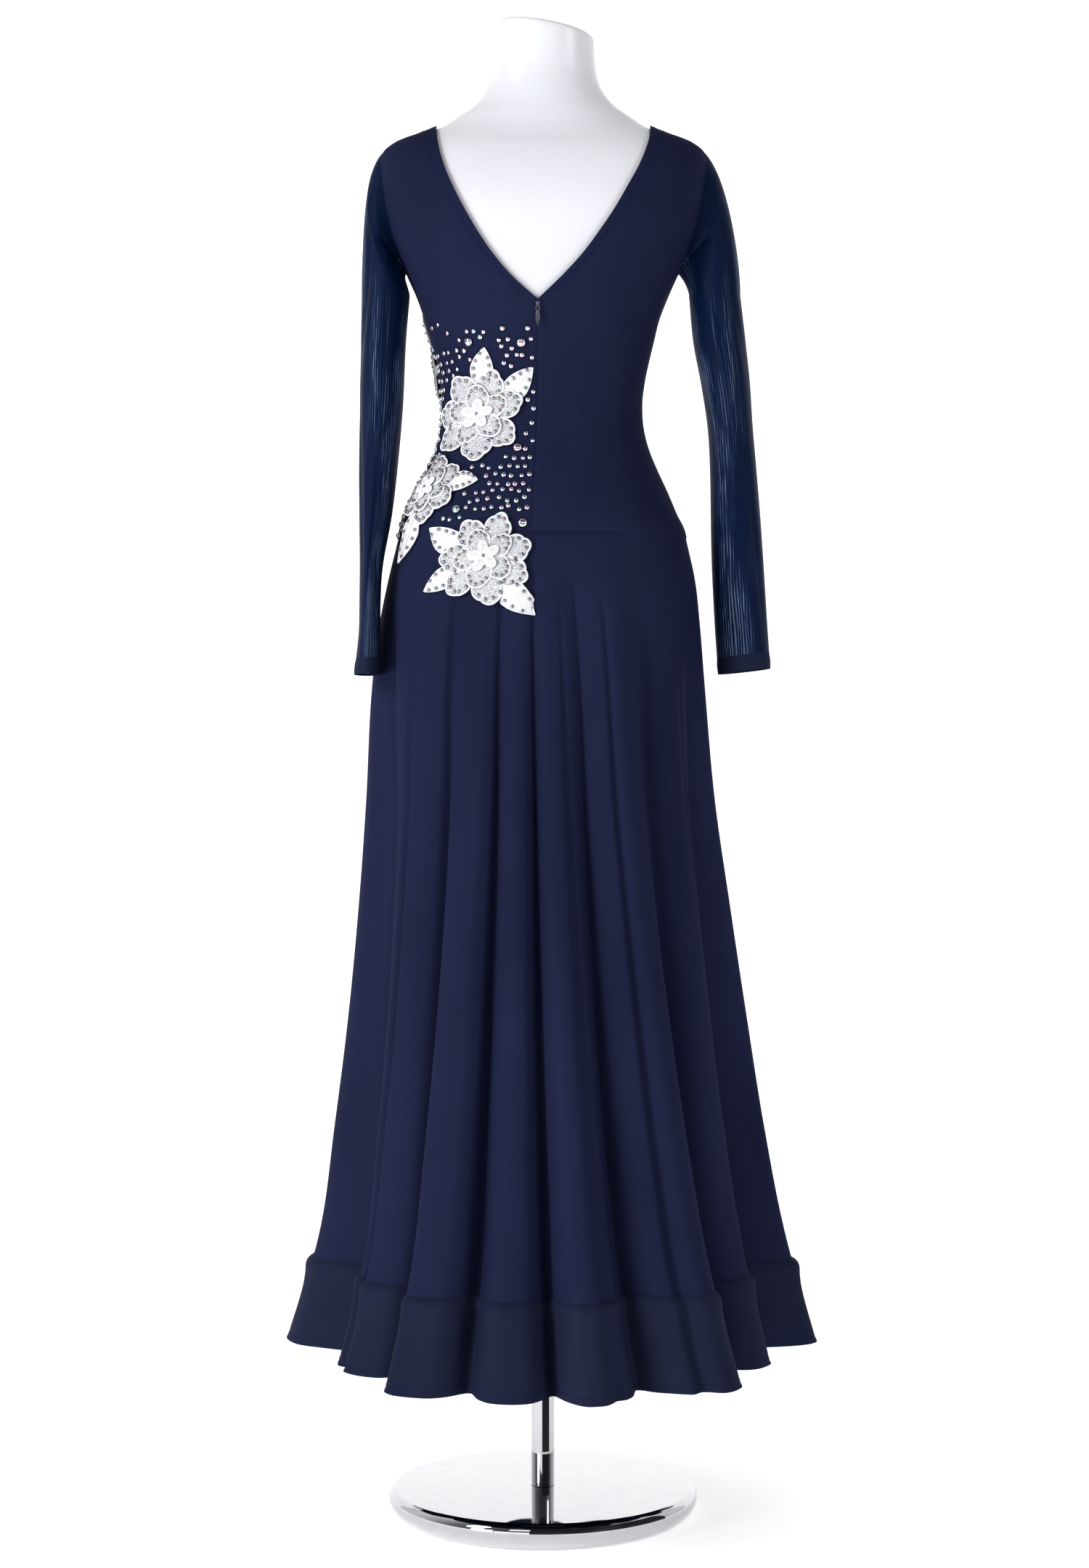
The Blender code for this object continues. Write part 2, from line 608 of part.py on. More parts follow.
def build_skirt():
    top = HIP_SEAM_Z - SEAM_GAP / 2
    bottom = BAND_TOP_Z + SEAM_GAP
    heights = [HIP_SEAM_Z - down * (HIP_SEAM_Z - HEM_Z) for down in SKIRT_ROWS_DOWN] + [top, bottom]
    band_heights = [BAND_TOP_Z - below for below in BAND_ROWS_BELOW_TOP]
    for name, span in SKIRT_PANELS.items():
        skirt, band = skirt_sheet(span, heights), skirt_sheet(span, band_heights)
        cloth_sheet("skirt_" + name, skirt, skirt_radius, SKIRT_CLOTH, "navy_jersey")
        cloth_sheet("hem_band_" + name, band, band_radius, BAND_CLOTH, "navy_jersey")


def sleeve_section(table, z, turn, side):
    """Points of a level sleeve section; turn is 90 at the outer edge, 0 at the back, 180 at the front."""
    heights = column(table, "z")[::-1]
    inner, outer, middle_y, half_depth = (
        smooth_through(heights, column(table, name)[::-1], z)
        for name in ("inner", "outer", "middle_y", "half_depth"))
    sine, cosine = np.sin(np.radians(turn)), np.cos(np.radians(turn))
    x = side * ((inner + outer) / 2 + (outer - inner) / 2 * sine)
    return np.stack([x, middle_y - half_depth * cosine, z + 0 * turn], -1)


def tube_normals(rows):
    """Outward unit normals of a tube's grid of points, rows going up."""
    around = np.roll(rows, -1, axis=1) - np.roll(rows, 1, axis=1)
    normals = np.cross(around, np.gradient(rows, axis=0))
    return normals / np.linalg.norm(normals, axis=-1, keepdims=True)


def armhole_loop(turn, side, inset):
    """Points on the armhole's edge, moved towards its middle by inset; turn as for the sections."""
    middle = (UNDERARM_Z + SHOULDER_TIP_Z) / 2
    sine, cosine = np.sin(np.radians(turn)), np.cos(np.radians(turn))
    half_height = (SHOULDER_TIP_Z - UNDERARM_Z) / 2 - inset
    half_angle = np.where(cosine > 0, ARMHOLE_BACK_HALF_ANGLE, ARMHOLE_FRONT_HALF_ANGLE)
    half_angle = half_angle - math.degrees(inset / 0.18)
    degs = side * (SIDE_SEAM - half_angle * cosine)
    return at(bodice_radius, degs, middle + half_height * sine, lift=0.0 * degs)


def sleeve_level(table, z, turn, side, tilt):
    """Section of the lower sleeve whose middle is at height z, tilted towards the wrist."""
    level = sleeve_section(table, z, turn, side)
    towards_wrist = (table[0].z - z) / (table[0].z - table[-1].z)
    level[:, 2] += tilt * towards_wrist * (level[:, 0] - level[:, 0].mean())
    return level


def tube_piece(name, rows, thickness, look):
    """Cloth tube open at both ends, from its outside rows listed from the top down."""
    outside = np.array(rows[::-1])
    inside = outside - tube_normals(outside) * thickness
    quads = grid_quads(numbered(outside), closed=True)
    add_wall(name, outside.reshape(-1, 3), inside.reshape(-1, 3), quads, look)


def build_sleeve(suffix, table, side, tilt):
    """Mesh sleeve from the armhole down, and the cloth cuff band at its wrist."""
    turn = 90.0 + side * np.array([360.0 * k / (2 * ARMHOLE_STEPS) for k in range(2 * ARMHOLE_STEPS)])
    start = armhole_loop(turn, side, SEAM_GAP * 1.3)
    end = sleeve_section(table, table[0].z, turn, side)
    reach = np.linalg.norm(end - start, axis=-1, keepdims=True)
    leave = np.array([side * SLEEVE_HEAD_OUT, 0.0, -SLEEVE_HEAD_DOWN]) * reach / reach.max()
    arrive = np.array([0.0, 0.0, -1.0]) * reach
    rows = []
    for s in SLEEVE_HEAD_STEPS:
        rows.append((2 * s**3 - 3 * s**2 + 1) * start + (s**3 - 2 * s**2 + s) * leave
                    + (3 * s**2 - 2 * s**3) * end + (s**3 - s**2) * arrive)
    wrist = table[-1].z
    cuff_top = wrist + CUFF_HEIGHT
    for z in np.linspace(table[0].z, cuff_top + SEAM_GAP, SLEEVE_LOWER_ROWS + 1):
        rows.append(sleeve_level(table, z, turn, side, tilt))
    tube_piece("sleeve_" + suffix, rows, MESH_CLOTH, "navy_mesh")
    cuff_rows = [sleeve_level(table, z, turn, side, tilt) for z in (cuff_top, wrist)]
    tube_piece("cuff_" + suffix, cuff_rows, CUFF_CLOTH, "navy_jersey")


def build_form():
    """Smooth closed form: hips to neck, with a slanted neck top."""
    degs = np.array([360.0 * k / FORM_COLUMNS for k in range(FORM_COLUMNS)])
    bm = bmesh.new()
    rows = []
    for z in FORM_ROW_HEIGHTS:
        share = (FORM_FULL_FROM_Z - z) / (FORM_FULL_FROM_Z - FORM_SLIMMER_UP_TO_Z)
        slimmer = FORM_SLIMMER_UNDER_CLOTH * min(max(share, 0.0), 1.0)
        rows.append(at(form_radius, degs, np.full(FORM_COLUMNS, z), lift=np.full(FORM_COLUMNS, -slimmer)))
        rows[-1][:, 2] = z
    rows[0][:, :2] *= 1 - FORM_EDGE_ROUNDING / 0.15
    top = at(form_radius, degs, np.full(FORM_COLUMNS, FORM_SECTIONS[-1].z))
    rounded = 1 - FORM_EDGE_ROUNDING / FORM_SECTIONS[-1].left
    for height, narrowed in ((NECK_TOP_Z - FORM_EDGE_ROUNDING, 1.0), (NECK_TOP_Z, rounded)):
        ring = top.copy()
        ring[:, 0] *= narrowed
        ring[:, 1] *= narrowed
        ring[:, 2] = height + NECK_TOP_SLOPE * ring[:, 0]
        rows.append(ring)
    made = add_vertices(bm, rows)
    grid_faces(bm, made, closed=True)
    bm.faces.new(made[0][::-1])
    bm.faces.new(made[-1])
    add_object("form_torso", bm, "form_plastic", sharp_deg=50.0)


def turned_profile(name, profile, sides, look):
    """Solid of revolution about the pole's axis; profile is (radius, height) from the bottom up."""
    bm = bmesh.new()
    rows = []
    for radius, z in profile:
        rows.append([bm.verts.new((radius * math.sin(a), -radius * math.cos(a), z))
                     for a in (2 * math.pi * k / sides for k in range(sides))])
    grid_faces(bm, rows, closed=True)
    bm.faces.new(rows[0][::-1])
    bm.faces.new(rows[-1])
    return add_object(name, bm, look, sharp_deg=35.0)


def build_stand():
    gap = SEAM_GAP
    edge = BASE_RADIUS
    base = [(BASE_FOOT_RADIUS, 0.0), (edge - 0.007, 0.006), (edge - 0.001, 0.015), (edge - 0.0005, 0.022),
            (edge - 0.003, 0.028), (edge - 0.009, BASE_THICKNESS)]
    turned_profile("stand_base", base, BASE_SIDES, "chrome")
    top_of_base = BASE_THICKNESS
    turned_profile("stand_pole", [(POLE_RADIUS, top_of_base + gap),
                                  (POLE_RADIUS, FORM_BOTTOM_Z - gap)], POLE_SIDES, "chrome")


def flower_reach(flower, turn_deg):
    """Outline of a flower: scalloped petals, with pointed leaves between them."""
    petal = math.cos(math.radians(turn_deg - flower.turn) * flower.petals)
    reach = flower.radius * (1 - FLOWER_SCALLOP + FLOWER_SCALLOP * petal)
    for leaf in flower.leaves:
        away = abs((turn_deg - leaf.deg + 180.0) % 360.0 - 180.0) / leaf.half_width
        if away < 1:
            reach = max(reach, flower.radius * 0.8 + (leaf.reach - flower.radius * 0.8) * (1 - away) ** 0.8)
    return reach


def on_garment(deg, z, across, upward, lift):
    """Point of the garment's outside that lies across and upward from (deg, z), moved out by lift."""
    radius_there = float(garment_radius(deg, z))
    degs = deg + np.degrees(np.asarray(across) / radius_there)
    return at(garment_radius, degs, z + np.asarray(upward), lift=np.asarray(lift))


def build_flower(flower):
    turns = [360.0 * k / FLOWER_SPOKES for k in range(FLOWER_SPOKES)]
    reach = np.array([flower_reach(flower, turn) for turn in turns])
    cosines, sines = np.cos(np.radians(turns)), np.sin(np.radians(turns))
    bm = bmesh.new()
    top_rings, bottom_rings = [], []
    for ring in FLOWER_RINGS:
        across, upward = reach * ring.share * cosines, reach * ring.share * sines
        flat = np.full(FLOWER_SPOKES, flower.stand_off)
        top_rings.append(on_garment(flower.deg, flower.z, across, upward, flat + ring.rise))
        bottom_rings.append(on_garment(flower.deg, flower.z, across, upward, flat))
    rows = add_vertices(bm, bottom_rings + top_rings[::-1])
    grid_faces(bm, rows, closed=True)
    for rim, lift in ((rows[0], flower.stand_off), (rows[-1], flower.stand_off + FLOWER_RINGS[0].rise)):
        middle = bm.verts.new(on_garment(flower.deg, flower.z, 0.0, 0.0, lift))
        for i, vertex in enumerate(rim):
            following = rim[(i + 1) % len(rim)]
            bm.faces.new((following, vertex, middle) if rim is rows[0] else (vertex, following, middle))
    bmesh.ops.recalc_face_normals(bm, faces=bm.faces)
    add_object(flower.name, bm, "silver_lace")


def build_stone(index, stone):
    """Cut stone: a flat table on a sloping crown, over a flat back."""
    foot = Vector(on_garment(stone.deg, stone.z, 0.0, 0.0, 0.0))
    outside = Vector(on_garment(stone.deg, stone.z, 0.0, 0.0, 0.01))
    radius = stone.diameter / 2
    bm = bmesh.new()
    rows = []
    for share, height in ((0.86, 0.0), (1.0, 0.12), (STONE_TABLE, 0.36)):
        turns = [2 * math.pi * k / STONE_SIDES for k in range(STONE_SIDES)]
        reach, level = radius * share, stone.diameter * height
        rows.append([bm.verts.new((reach * math.cos(a), reach * math.sin(a), level)) for a in turns])
    grid_faces(bm, rows, closed=True)
    bm.faces.new(rows[0][::-1])
    bm.faces.new(rows[-1])
    made = add_object("stone_%d" % (index + 1), bm, "crystal", sharp_deg=15.0)
    direction = (outside - foot).normalized()
    made.location = foot + direction * STONE_STAND_OFF
    made.rotation_mode = "QUATERNION"
    made.rotation_quaternion = direction.to_track_quat("Z", "Y")


def rounded_box(bm, size, middle, bevel):
    """Box with its edges rounded off, added to bm."""
    placed = Matrix.Translation(middle) @ Matrix.Diagonal((*size, 1.0))
    made = bmesh.ops.create_cube(bm, size=1.0, matrix=placed)
    edges = list({edge for vertex in made["verts"] for edge in vertex.link_edges})
    bmesh.ops.bevel(bm, geom=edges, offset=bevel, segments=1, profile=0.5, affect="EDGES")


def sweep_wire(bm, path, radius, sides=6, closed=False):
    """Round wire along a closed path in the XZ plane or an open one in the YZ plane."""
    rows = []
    count = len(path)
    for i, point in enumerate(path):
        before = path[i - 1] if closed or i else point
        after = path[(i + 1) % count] if closed or i < count - 1 else point
        along = (after - before).normalized()
        side = Vector((0, 1, 0)) if closed else along.cross(Vector((1, 0, 0))).normalized()
        other = along.cross(side).normalized()
        rows.append([bm.verts.new(point + side * radius * math.cos(a) + other * radius * math.sin(a))
                     for a in (2 * math.pi * k / sides for k in range(sides))])
    if closed:
        rows.append(rows[0])
    grid_faces(bm, rows, closed=True)
    if not closed:
        bm.faces.new(rows[0][::-1])
        bm.faces.new(rows[-1])


def zip_place():
    """Middle of the slider's back face, just off the cloth at the bottom of the V."""
    deg = centre_back(SLIDER_MIDDLE_Z)
    foot = at(bodice_radius, np.float64(deg), np.float64(SLIDER_MIDDLE_Z))
    nearest = min(at(bodice_radius, np.float64(deg), np.float64(SLIDER_MIDDLE_Z + up))[1]
                  for up in (-SLIDER_SIZE.z / 2, 0.0, SLIDER_SIZE.z / 2))
    return Vector((foot[0], nearest - SEAM_GAP, SLIDER_MIDDLE_Z))


def pull_axis():
    """Middle of the bar that the pull tab turns on, under the slider's bridge."""
    place = zip_place()
    out = SLIDER_SIZE.y + BRIDGE_CLEARANCE + PULL_WIRE_RADIUS
    return Vector((place.x, place.y - out, place.z))


def build_slider():
    place = zip_place()
    bm = bmesh.new()
    rounded_box(bm, SLIDER_SIZE, place - Vector((0, SLIDER_SIZE.y / 2, 0)), 0.0006)
    body = add_object("zip_slider", bm, "gunmetal")
    arch = PULL_WIRE_RADIUS + BRIDGE_CLEARANCE + BRIDGE_RADIUS
    axis = pull_axis()
    wire = bmesh.new()
    path = [axis + Vector((0, 0.0013, arch * 1.25))]
    path += [axis + Vector((0, -arch * math.sin(t), arch * 1.25 * math.cos(t)))
             for t in (math.pi * k / 6 for k in range(7))]
    path += [axis + Vector((0, 0.0013, -arch * 1.25))]
    sweep_wire(wire, path, BRIDGE_RADIUS)
    bmesh.ops.recalc_face_normals(wire, faces=wire.faces)
    bridge = add_object("bridge_cutter", wire, "gunmetal")
    bridge.hide_render = True
    bridge.display_type = "WIRE"
    union = body.modifiers.new("Bridge", "BOOLEAN")
    union.operation = "UNION"
    union.object = bridge


def build_pull():
    """Pull tab: a four-cornered wire ring round the bridge and a leaf-shaped plate below it."""
    axis = pull_axis()
    half, drop = PULL_RING_HALF_WIDTH, PULL_RING_DROP
    narrow = half * 0.62
    bm = bmesh.new()
    right = [(narrow, 0.0), (half, -drop * 0.75), (half * 0.7, -drop)]
    corners = [Vector((x, 0, z)) for x, z in right + [(-x, z) for x, z in reversed(right)]]
    sweep_wire(bm, corners, PULL_WIRE_RADIUS, closed=True)
    bmesh.ops.recalc_face_normals(bm, faces=bm.faces)
    ring = add_object("zip_pull", bm, "gunmetal")
    ring.location = axis
    plate = bmesh.new()
    thick = PULL_PLATE_THICKNESS / 2
    outline = [(0.0006, -drop + 0.0002), (0.0006, -PULL_PLATE_TOP)]
    for k in range(1, 8):
        share = k / 8
        width = PULL_PLATE_HALF_WIDTH * math.sin(math.pi * share ** 0.8) ** 0.75 + 0.0003
        outline.append((width, -PULL_PLATE_TOP - (PULL_LENGTH - PULL_PLATE_TOP) * share))
    outline.append((0.0003, -PULL_LENGTH))
    outline += [(-x, z) for x, z in reversed(outline)]
    front = [plate.verts.new((x, -thick, z)) for x, z in outline]
    back = [plate.verts.new((x, thick, z)) for x, z in outline]
    grid_faces(plate, [front, back], closed=True)
    plate.faces.new(front[::-1])
    plate.faces.new(back)
    bmesh.ops.recalc_face_normals(plate, faces=plate.faces)
    leaf = add_object("leaf_cutter", plate, "gunmetal")
    leaf.location = axis
    leaf.hide_render = True
    leaf.display_type = "WIRE"
    union = ring.modifiers.new("Leaf", "BOOLEAN")
    union.operation = "UNION"
    union.object = leaf


build_form()
build_stand()
build_bodice()
build_skirt()
build_sleeve("left", LEFT_SLEEVE, -1, LEFT_CUFF_TILT)
build_sleeve("right", RIGHT_SLEEVE, 1, RIGHT_CUFF_TILT)
for flower in FLOWERS:
    build_flower(flower)
for index, stone in enumerate(STONES):
    build_stone(index, stone)
build_slider()
build_pull()
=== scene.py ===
"""Scene for the navy long-sleeved dress on its display form: detailed cloth, lace, stones and studio.

Metres, in the frame of the CAD part. The back of the dress faces -Y, towards the camera.
An angle round the body is in degrees about the pole's axis: 0 is the back, 90 is +X and 180 the front.
"""

import math
import random
from collections import namedtuple

import bmesh
import bpy
import numpy as np
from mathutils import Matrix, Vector


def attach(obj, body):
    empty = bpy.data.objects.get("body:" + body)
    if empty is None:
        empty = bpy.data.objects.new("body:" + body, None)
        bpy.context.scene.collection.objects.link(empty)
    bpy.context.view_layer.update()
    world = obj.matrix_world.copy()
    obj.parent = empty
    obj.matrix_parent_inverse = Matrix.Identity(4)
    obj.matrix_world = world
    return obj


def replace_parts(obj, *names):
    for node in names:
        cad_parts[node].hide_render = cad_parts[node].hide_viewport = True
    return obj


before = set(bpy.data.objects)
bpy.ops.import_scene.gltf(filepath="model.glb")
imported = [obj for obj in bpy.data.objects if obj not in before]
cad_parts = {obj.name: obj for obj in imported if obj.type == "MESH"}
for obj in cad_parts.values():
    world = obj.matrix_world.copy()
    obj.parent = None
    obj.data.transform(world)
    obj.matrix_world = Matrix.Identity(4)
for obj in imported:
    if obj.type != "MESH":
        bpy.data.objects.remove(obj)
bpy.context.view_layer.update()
MAIN, PULL = "dress_and_form", "pull"

# Shape values, as in the part's source
CLOTH_OVER_FORM = 0.0035
SEAM_GAP = 0.0004
CLOSED_SEAM = 0.00006
HEM_Z = 0.201
BAND_TOP_Z = 0.297
HIP_SEAM_Z = 1.125
V_BOTTOM_Z = 1.3883
UNDERARM_Z = 1.434
SHOULDER_TIP_Z = 1.577
ARMHOLE_MIDDLE_Z = (UNDERARM_Z + SHOULDER_TIP_Z) / 2
ARMHOLE_HALF_HEIGHT = (SHOULDER_TIP_Z - UNDERARM_Z) / 2
FRONT_NECK_Z = 1.51
NECK_POINT_Z = 1.601
NECK_TOP_Z = 1.718
NECK_TOP_SLOPE = -0.167
FORM_BOTTOM_Z = 1.06
FORM_SLIMMER_UNDER_CLOTH = 0.0016
FORM_SLIMMER_UP_TO_Z = 1.5
FORM_FULL_FROM_Z = 1.59
CENTRE_BACK_AT_V = -3.2
CENTRE_BACK_AT_HIP = -5.3
ARMHOLE_BACK_HALF_ANGLE = 13.0
ARMHOLE_FRONT_HALF_ANGLE = 14.0
FRONT_NECK_HALF_WIDTH = 0.121
STRAP_DEG = 1.5
BASE_RADIUS = 0.1786
BASE_FOOT_RADIUS = 0.163
BASE_THICKNESS = 0.031
POLE_RADIUS = 0.0134
CREST_BREADTH = 1.25

# Thickness of the cloth as it is drawn
JERSEY_WALL = 0.0011
BAND_WALL = 0.0022
MESH_WALL = 0.0008
CUFF_WALL = 0.0016
TAPE_WALL = 0.0005

# Mean radii, which turn angles into metres for UV coordinates, seams and edges
BODICE_RADIUS = 0.12
BACK_SEAM_RADIUS = 0.1
NECK_EDGE_RADIUS = 0.105
NECK_STITCH_RADIUS = 0.11
SIDE_SEAM_RADIUS = 0.15
SKIRT_RADIUS = 0.25
BAND_RADIUS = 0.3
CUFF_RADIUS = 0.035

FORM_SECTIONS = np.array([
    # z, left, right, back, front, squareness
    (1.06, 0.157, 0.156, 0.124, 0.099, 2.2), (1.095, 0.164, 0.163, 0.1285, 0.101, 2.2),
    (1.129, 0.164, 0.1625, 0.127, 0.099, 2.2), (1.154, 0.1565, 0.152, 0.119, 0.096, 2.2),
    (1.18, 0.145, 0.141, 0.108, 0.092, 2.2), (1.205, 0.131, 0.1295, 0.097, 0.088, 2.2),
    (1.23, 0.12, 0.1195, 0.088, 0.085, 2.2), (1.255, 0.115, 0.1135, 0.082, 0.084, 2.2),
    (1.281, 0.114, 0.112, 0.079, 0.085, 2.2), (1.306, 0.1155, 0.1145, 0.08, 0.09, 2.25),
    (1.331, 0.1195, 0.1195, 0.084, 0.1, 2.3), (1.356, 0.126, 0.1255, 0.089, 0.111, 2.35),
    (1.382, 0.134, 0.132, 0.094, 0.118, 2.4), (1.407, 0.1425, 0.1415, 0.098, 0.118, 2.5),
    (1.432, 0.1535, 0.1525, 0.101, 0.112, 2.6), (1.46, 0.166, 0.166, 0.1025, 0.103, 2.8),
    (1.49, 0.1765, 0.177, 0.101, 0.094, 3.0), (1.52, 0.183, 0.184, 0.096, 0.085, 3.0),
    (1.55, 0.186, 0.1875, 0.087, 0.075, 2.9), (1.568, 0.183, 0.185, 0.079, 0.068, 2.7),
    (1.58, 0.169, 0.171, 0.072, 0.063, 2.5), (1.59, 0.145, 0.147, 0.067, 0.06, 2.3),
    (1.6, 0.121, 0.1235, 0.063, 0.059, 2.2), (1.6135, 0.1, 0.103, 0.059, 0.06, 2.1),
    (1.626, 0.082, 0.0855, 0.056, 0.061, 2.0), (1.642, 0.068, 0.0715, 0.053, 0.062, 2.0),
    (1.661, 0.06, 0.0635, 0.05, 0.062, 2.0), (1.685, 0.056, 0.0605, 0.0485, 0.061, 2.0),
    (1.705, 0.0548, 0.0595, 0.048, 0.06, 2.0),
])
BACK_NECK = np.array([
    # z, left edge, right edge
    (1.3883, -0.0057, -0.0057), (1.4136, -0.0342, 0.0212), (1.438, -0.0554, 0.044),
    (1.4631, -0.0726, 0.0628), (1.489, -0.0875, 0.0801), (1.5158, -0.1009, 0.0952),
    (1.5437, -0.1121, 0.1096), (1.5767, -0.12, 0.1208), (1.6055, -0.1225, 0.124),
])
FOLDS = np.array([
    # crest angle, crest radius, valley angle, valley radius, all at the hem
    (-93.0, 0.297, -69.0, 0.232), (-47.0, 0.286, -37.5, 0.277), (-26.0, 0.338, -15.0, 0.317),
    (-6.0, 0.343, 2.1, 0.318), (8.5, 0.355, 20.5, 0.306), (34.0, 0.346, 48.0, 0.276),
    (57.0, 0.292, 75.0, 0.25), (87.0, 0.316, 102.0, 0.264), (117.0, 0.318, 128.5, 0.272),
    (140.0, 0.314, 151.0, 0.268), (162.0, 0.309, 172.0, 0.27), (183.0, 0.306, 194.0, 0.266),
    (206.0, 0.309, 218.0, 0.27), (231.0, 0.312, 247.0, 0.262),
])
SKIRT_FLARE = np.array([
    # share of the way down, widening at left and right, depth of the folds
    (0.0, 0.0, 0.0, 0.0), (0.05, 0.09, 0.068, 0.03), (0.105, 0.17, 0.105, 0.1), (0.187, 0.24, 0.145, 0.2),
    (0.324, 0.29, 0.22, 0.36), (0.46, 0.359, 0.34, 0.5), (0.597, 0.452, 0.467, 0.63),
    (0.733, 0.574, 0.6, 0.76), (0.87, 0.714, 0.767, 0.89), (1.0, 1.0, 1.0, 1.0),
])
BAND_RIDGE = np.array([
    # below the band's top, rise
    (0.0, 0.0), (0.003, 0.0045), (0.009, 0.0065), (0.018, 0.0045), (0.032, 0.002), (0.055, 0.0005),
    (0.096, 0.0),
])
FOLD_LEAN = np.array([
    # angle, lean to the left at the hip
    (-180.0, 0.0), (-60.0, 0.0), (-20.0, 1.5), (0.0, 7.2), (45.0, 6.0), (75.0, 3.0), (120.0, 0.0),
    (180.0, 0.0),
])
SMALL_FOLDS = np.array([
    # angle at the hem, z where it starts, height at the hem (less than 0 for a groove), half width in degrees
    (-82.0, 0.93, 0.004, 3.0), (-69.0, 1.03, -0.013, 2.4), (-61.0, 0.98, 0.005, 2.2),
    (-53.0, 1.06, -0.013, 1.7), (-36.0, 1.08, -0.018, 1.9), (-30.5, 1.06, 0.004, 1.6),
    (-20.5, 1.05, 0.003, 1.8), (-15.0, 1.07, -0.019, 1.7), (-10.5, 1.05, 0.0025, 1.6),
    (-2.0, 1.0, 0.0025, 1.3), (2.1, 1.09, -0.015, 1.3), (13.5, 1.06, -0.008, 1.2), (16.5, 1.0, 0.003, 1.3),
    (20.0, 1.07, -0.015, 1.5), (31.0, 1.06, -0.014, 1.5), (40.0, 1.0, 0.003, 1.8),
    (48.0, 1.04, -0.016, 2.2), (64.0, 1.0, -0.007, 1.8), (75.0, 1.0, -0.012, 2.5), (95.0, 1.0, 0.004, 2.6),
    (102.0, 1.02, -0.013, 2.2), (110.0, 1.02, -0.005, 1.6), (128.5, 1.05, -0.015, 2.0),
    (134.0, 1.03, 0.003, 1.8), (151.0, 1.04, -0.015, 2.0), (157.0, 1.0, 0.003, 2.0),
    (172.0, 1.05, -0.015, 1.8), (178.0, 1.02, -0.005, 1.4), (194.0, 1.05, -0.015, 2.0),
    (200.0, 1.0, 0.0035, 2.0), (218.0, 1.04, -0.015, 2.1), (226.0, 1.02, -0.006, 1.6),
    (240.0, 1.0, 0.0035, 2.4), (247.0, 1.0, -0.013, 2.4),
])
SKIRT_PANELS = (("back_left", -93.0, 2.1), ("back_right", 2.1, 87.0),
                ("front_right", 87.0, 172.0), ("front_left", 172.0, 267.0))
DARTS = ((51.5, 53.5, 1.3, 1.446), (-41.0, -43.0, 1.3, 1.44))
DRAG_LINES = np.array([
    # angle, z, lean in degrees a metre, half length, rise, width in degrees
    (70.0, 1.415, -260.0, 0.045, 0.001, 3.0), (62.0, 1.395, -240.0, 0.05, 0.0008, 3.5),
    (-70.0, 1.415, 260.0, 0.045, 0.001, 3.0), (-60.0, 1.39, 230.0, 0.045, 0.0008, 3.5),
    (30.0, 1.255, -420.0, 0.03, 0.0006, 4.0), (40.0, 1.215, -500.0, 0.03, 0.0007, 4.0),
    (22.0, 1.17, -380.0, 0.03, 0.0005, 4.0), (112.0, 1.4, 300.0, 0.04, 0.0009, 3.0),
    (248.0, 1.4, -300.0, 0.04, 0.0009, 3.0), (140.0, 1.26, 420.0, 0.03, 0.0007, 4.0),
    (222.0, 1.245, -420.0, 0.03, 0.0007, 4.0),
])
LEFT_SLEEVE = np.array([
    # z, inner edge, outer edge, middle in y, half depth
    (1.407, 0.154, 0.2096, -0.004, 0.046), (1.356, 0.158, 0.2104, -0.008, 0.044),
    (1.281, 0.161, 0.2112, -0.016, 0.042), (1.205, 0.167, 0.2112, -0.026, 0.04),
    (1.154, 0.1725, 0.2104, -0.034, 0.038), (1.079, 0.184, 0.209, -0.047, 0.036),
    (1.028, 0.185, 0.209, -0.056, 0.035), (0.967, 0.1845, 0.2142, -0.064, 0.034),
])
RIGHT_SLEEVE = np.array([
    (1.407, 0.1695, 0.2289, -0.002, 0.046), (1.356, 0.1742, 0.2348, -0.002, 0.044),
    (1.306, 0.1835, 0.2399, -0.003, 0.042), (1.255, 0.191, 0.2432, -0.003, 0.04),
    (1.205, 0.1936, 0.2474, -0.004, 0.038), (1.154, 0.1944, 0.2516, -0.004, 0.037),
    (1.104, 0.1953, 0.255, -0.005, 0.035), (1.028, 0.199, 0.2597, -0.005, 0.033),
    (0.973, 0.2028, 0.2634, -0.006, 0.032),
])
SLEEVE_CREASES = {
    # turn at the crease's middle, share of the way down, turn a share of the length, half length, rise, width
    "left": ((-20, 0.1, 500, 0.05, -0.0022, 10), (20, 0.16, -420, 0.06, 0.0018, 10),
        (50, 0.3, 160, 0.16, -0.0022, 9), (10, 0.42, 90, 0.2, 0.002, 9), (-30, 0.52, 120, 0.18, -0.0022, 9),
        (60, 0.62, -100, 0.2, -0.0018, 9), (0, 0.78, 60, 0.16, -0.0024, 9),
        (-50, 0.86, -80, 0.12, 0.0018, 10), (150, 0.3, 200, 0.14, -0.002, 10),
        (200, 0.5, -160, 0.16, 0.0018, 10), (170, 0.75, 120, 0.16, -0.002, 10)),
    "right": ((-25, 0.08, 520, 0.05, -0.0024, 10), (10, 0.14, -300, 0.06, 0.0018, 10),
        (35, 0.26, 120, 0.14, -0.0022, 9), (-15, 0.36, 140, 0.16, 0.0018, 9),
        (20, 0.5, -60, 0.22, -0.0024, 8), (-35, 0.62, 90, 0.18, 0.0018, 9),
        (40, 0.74, 60, 0.18, -0.0018, 9), (0, 0.88, 40, 0.1, -0.002, 9), (150, 0.3, 200, 0.14, -0.002, 10),
        (200, 0.52, -160, 0.16, 0.0018, 10), (170, 0.78, 120, 0.16, -0.002, 10)),
}
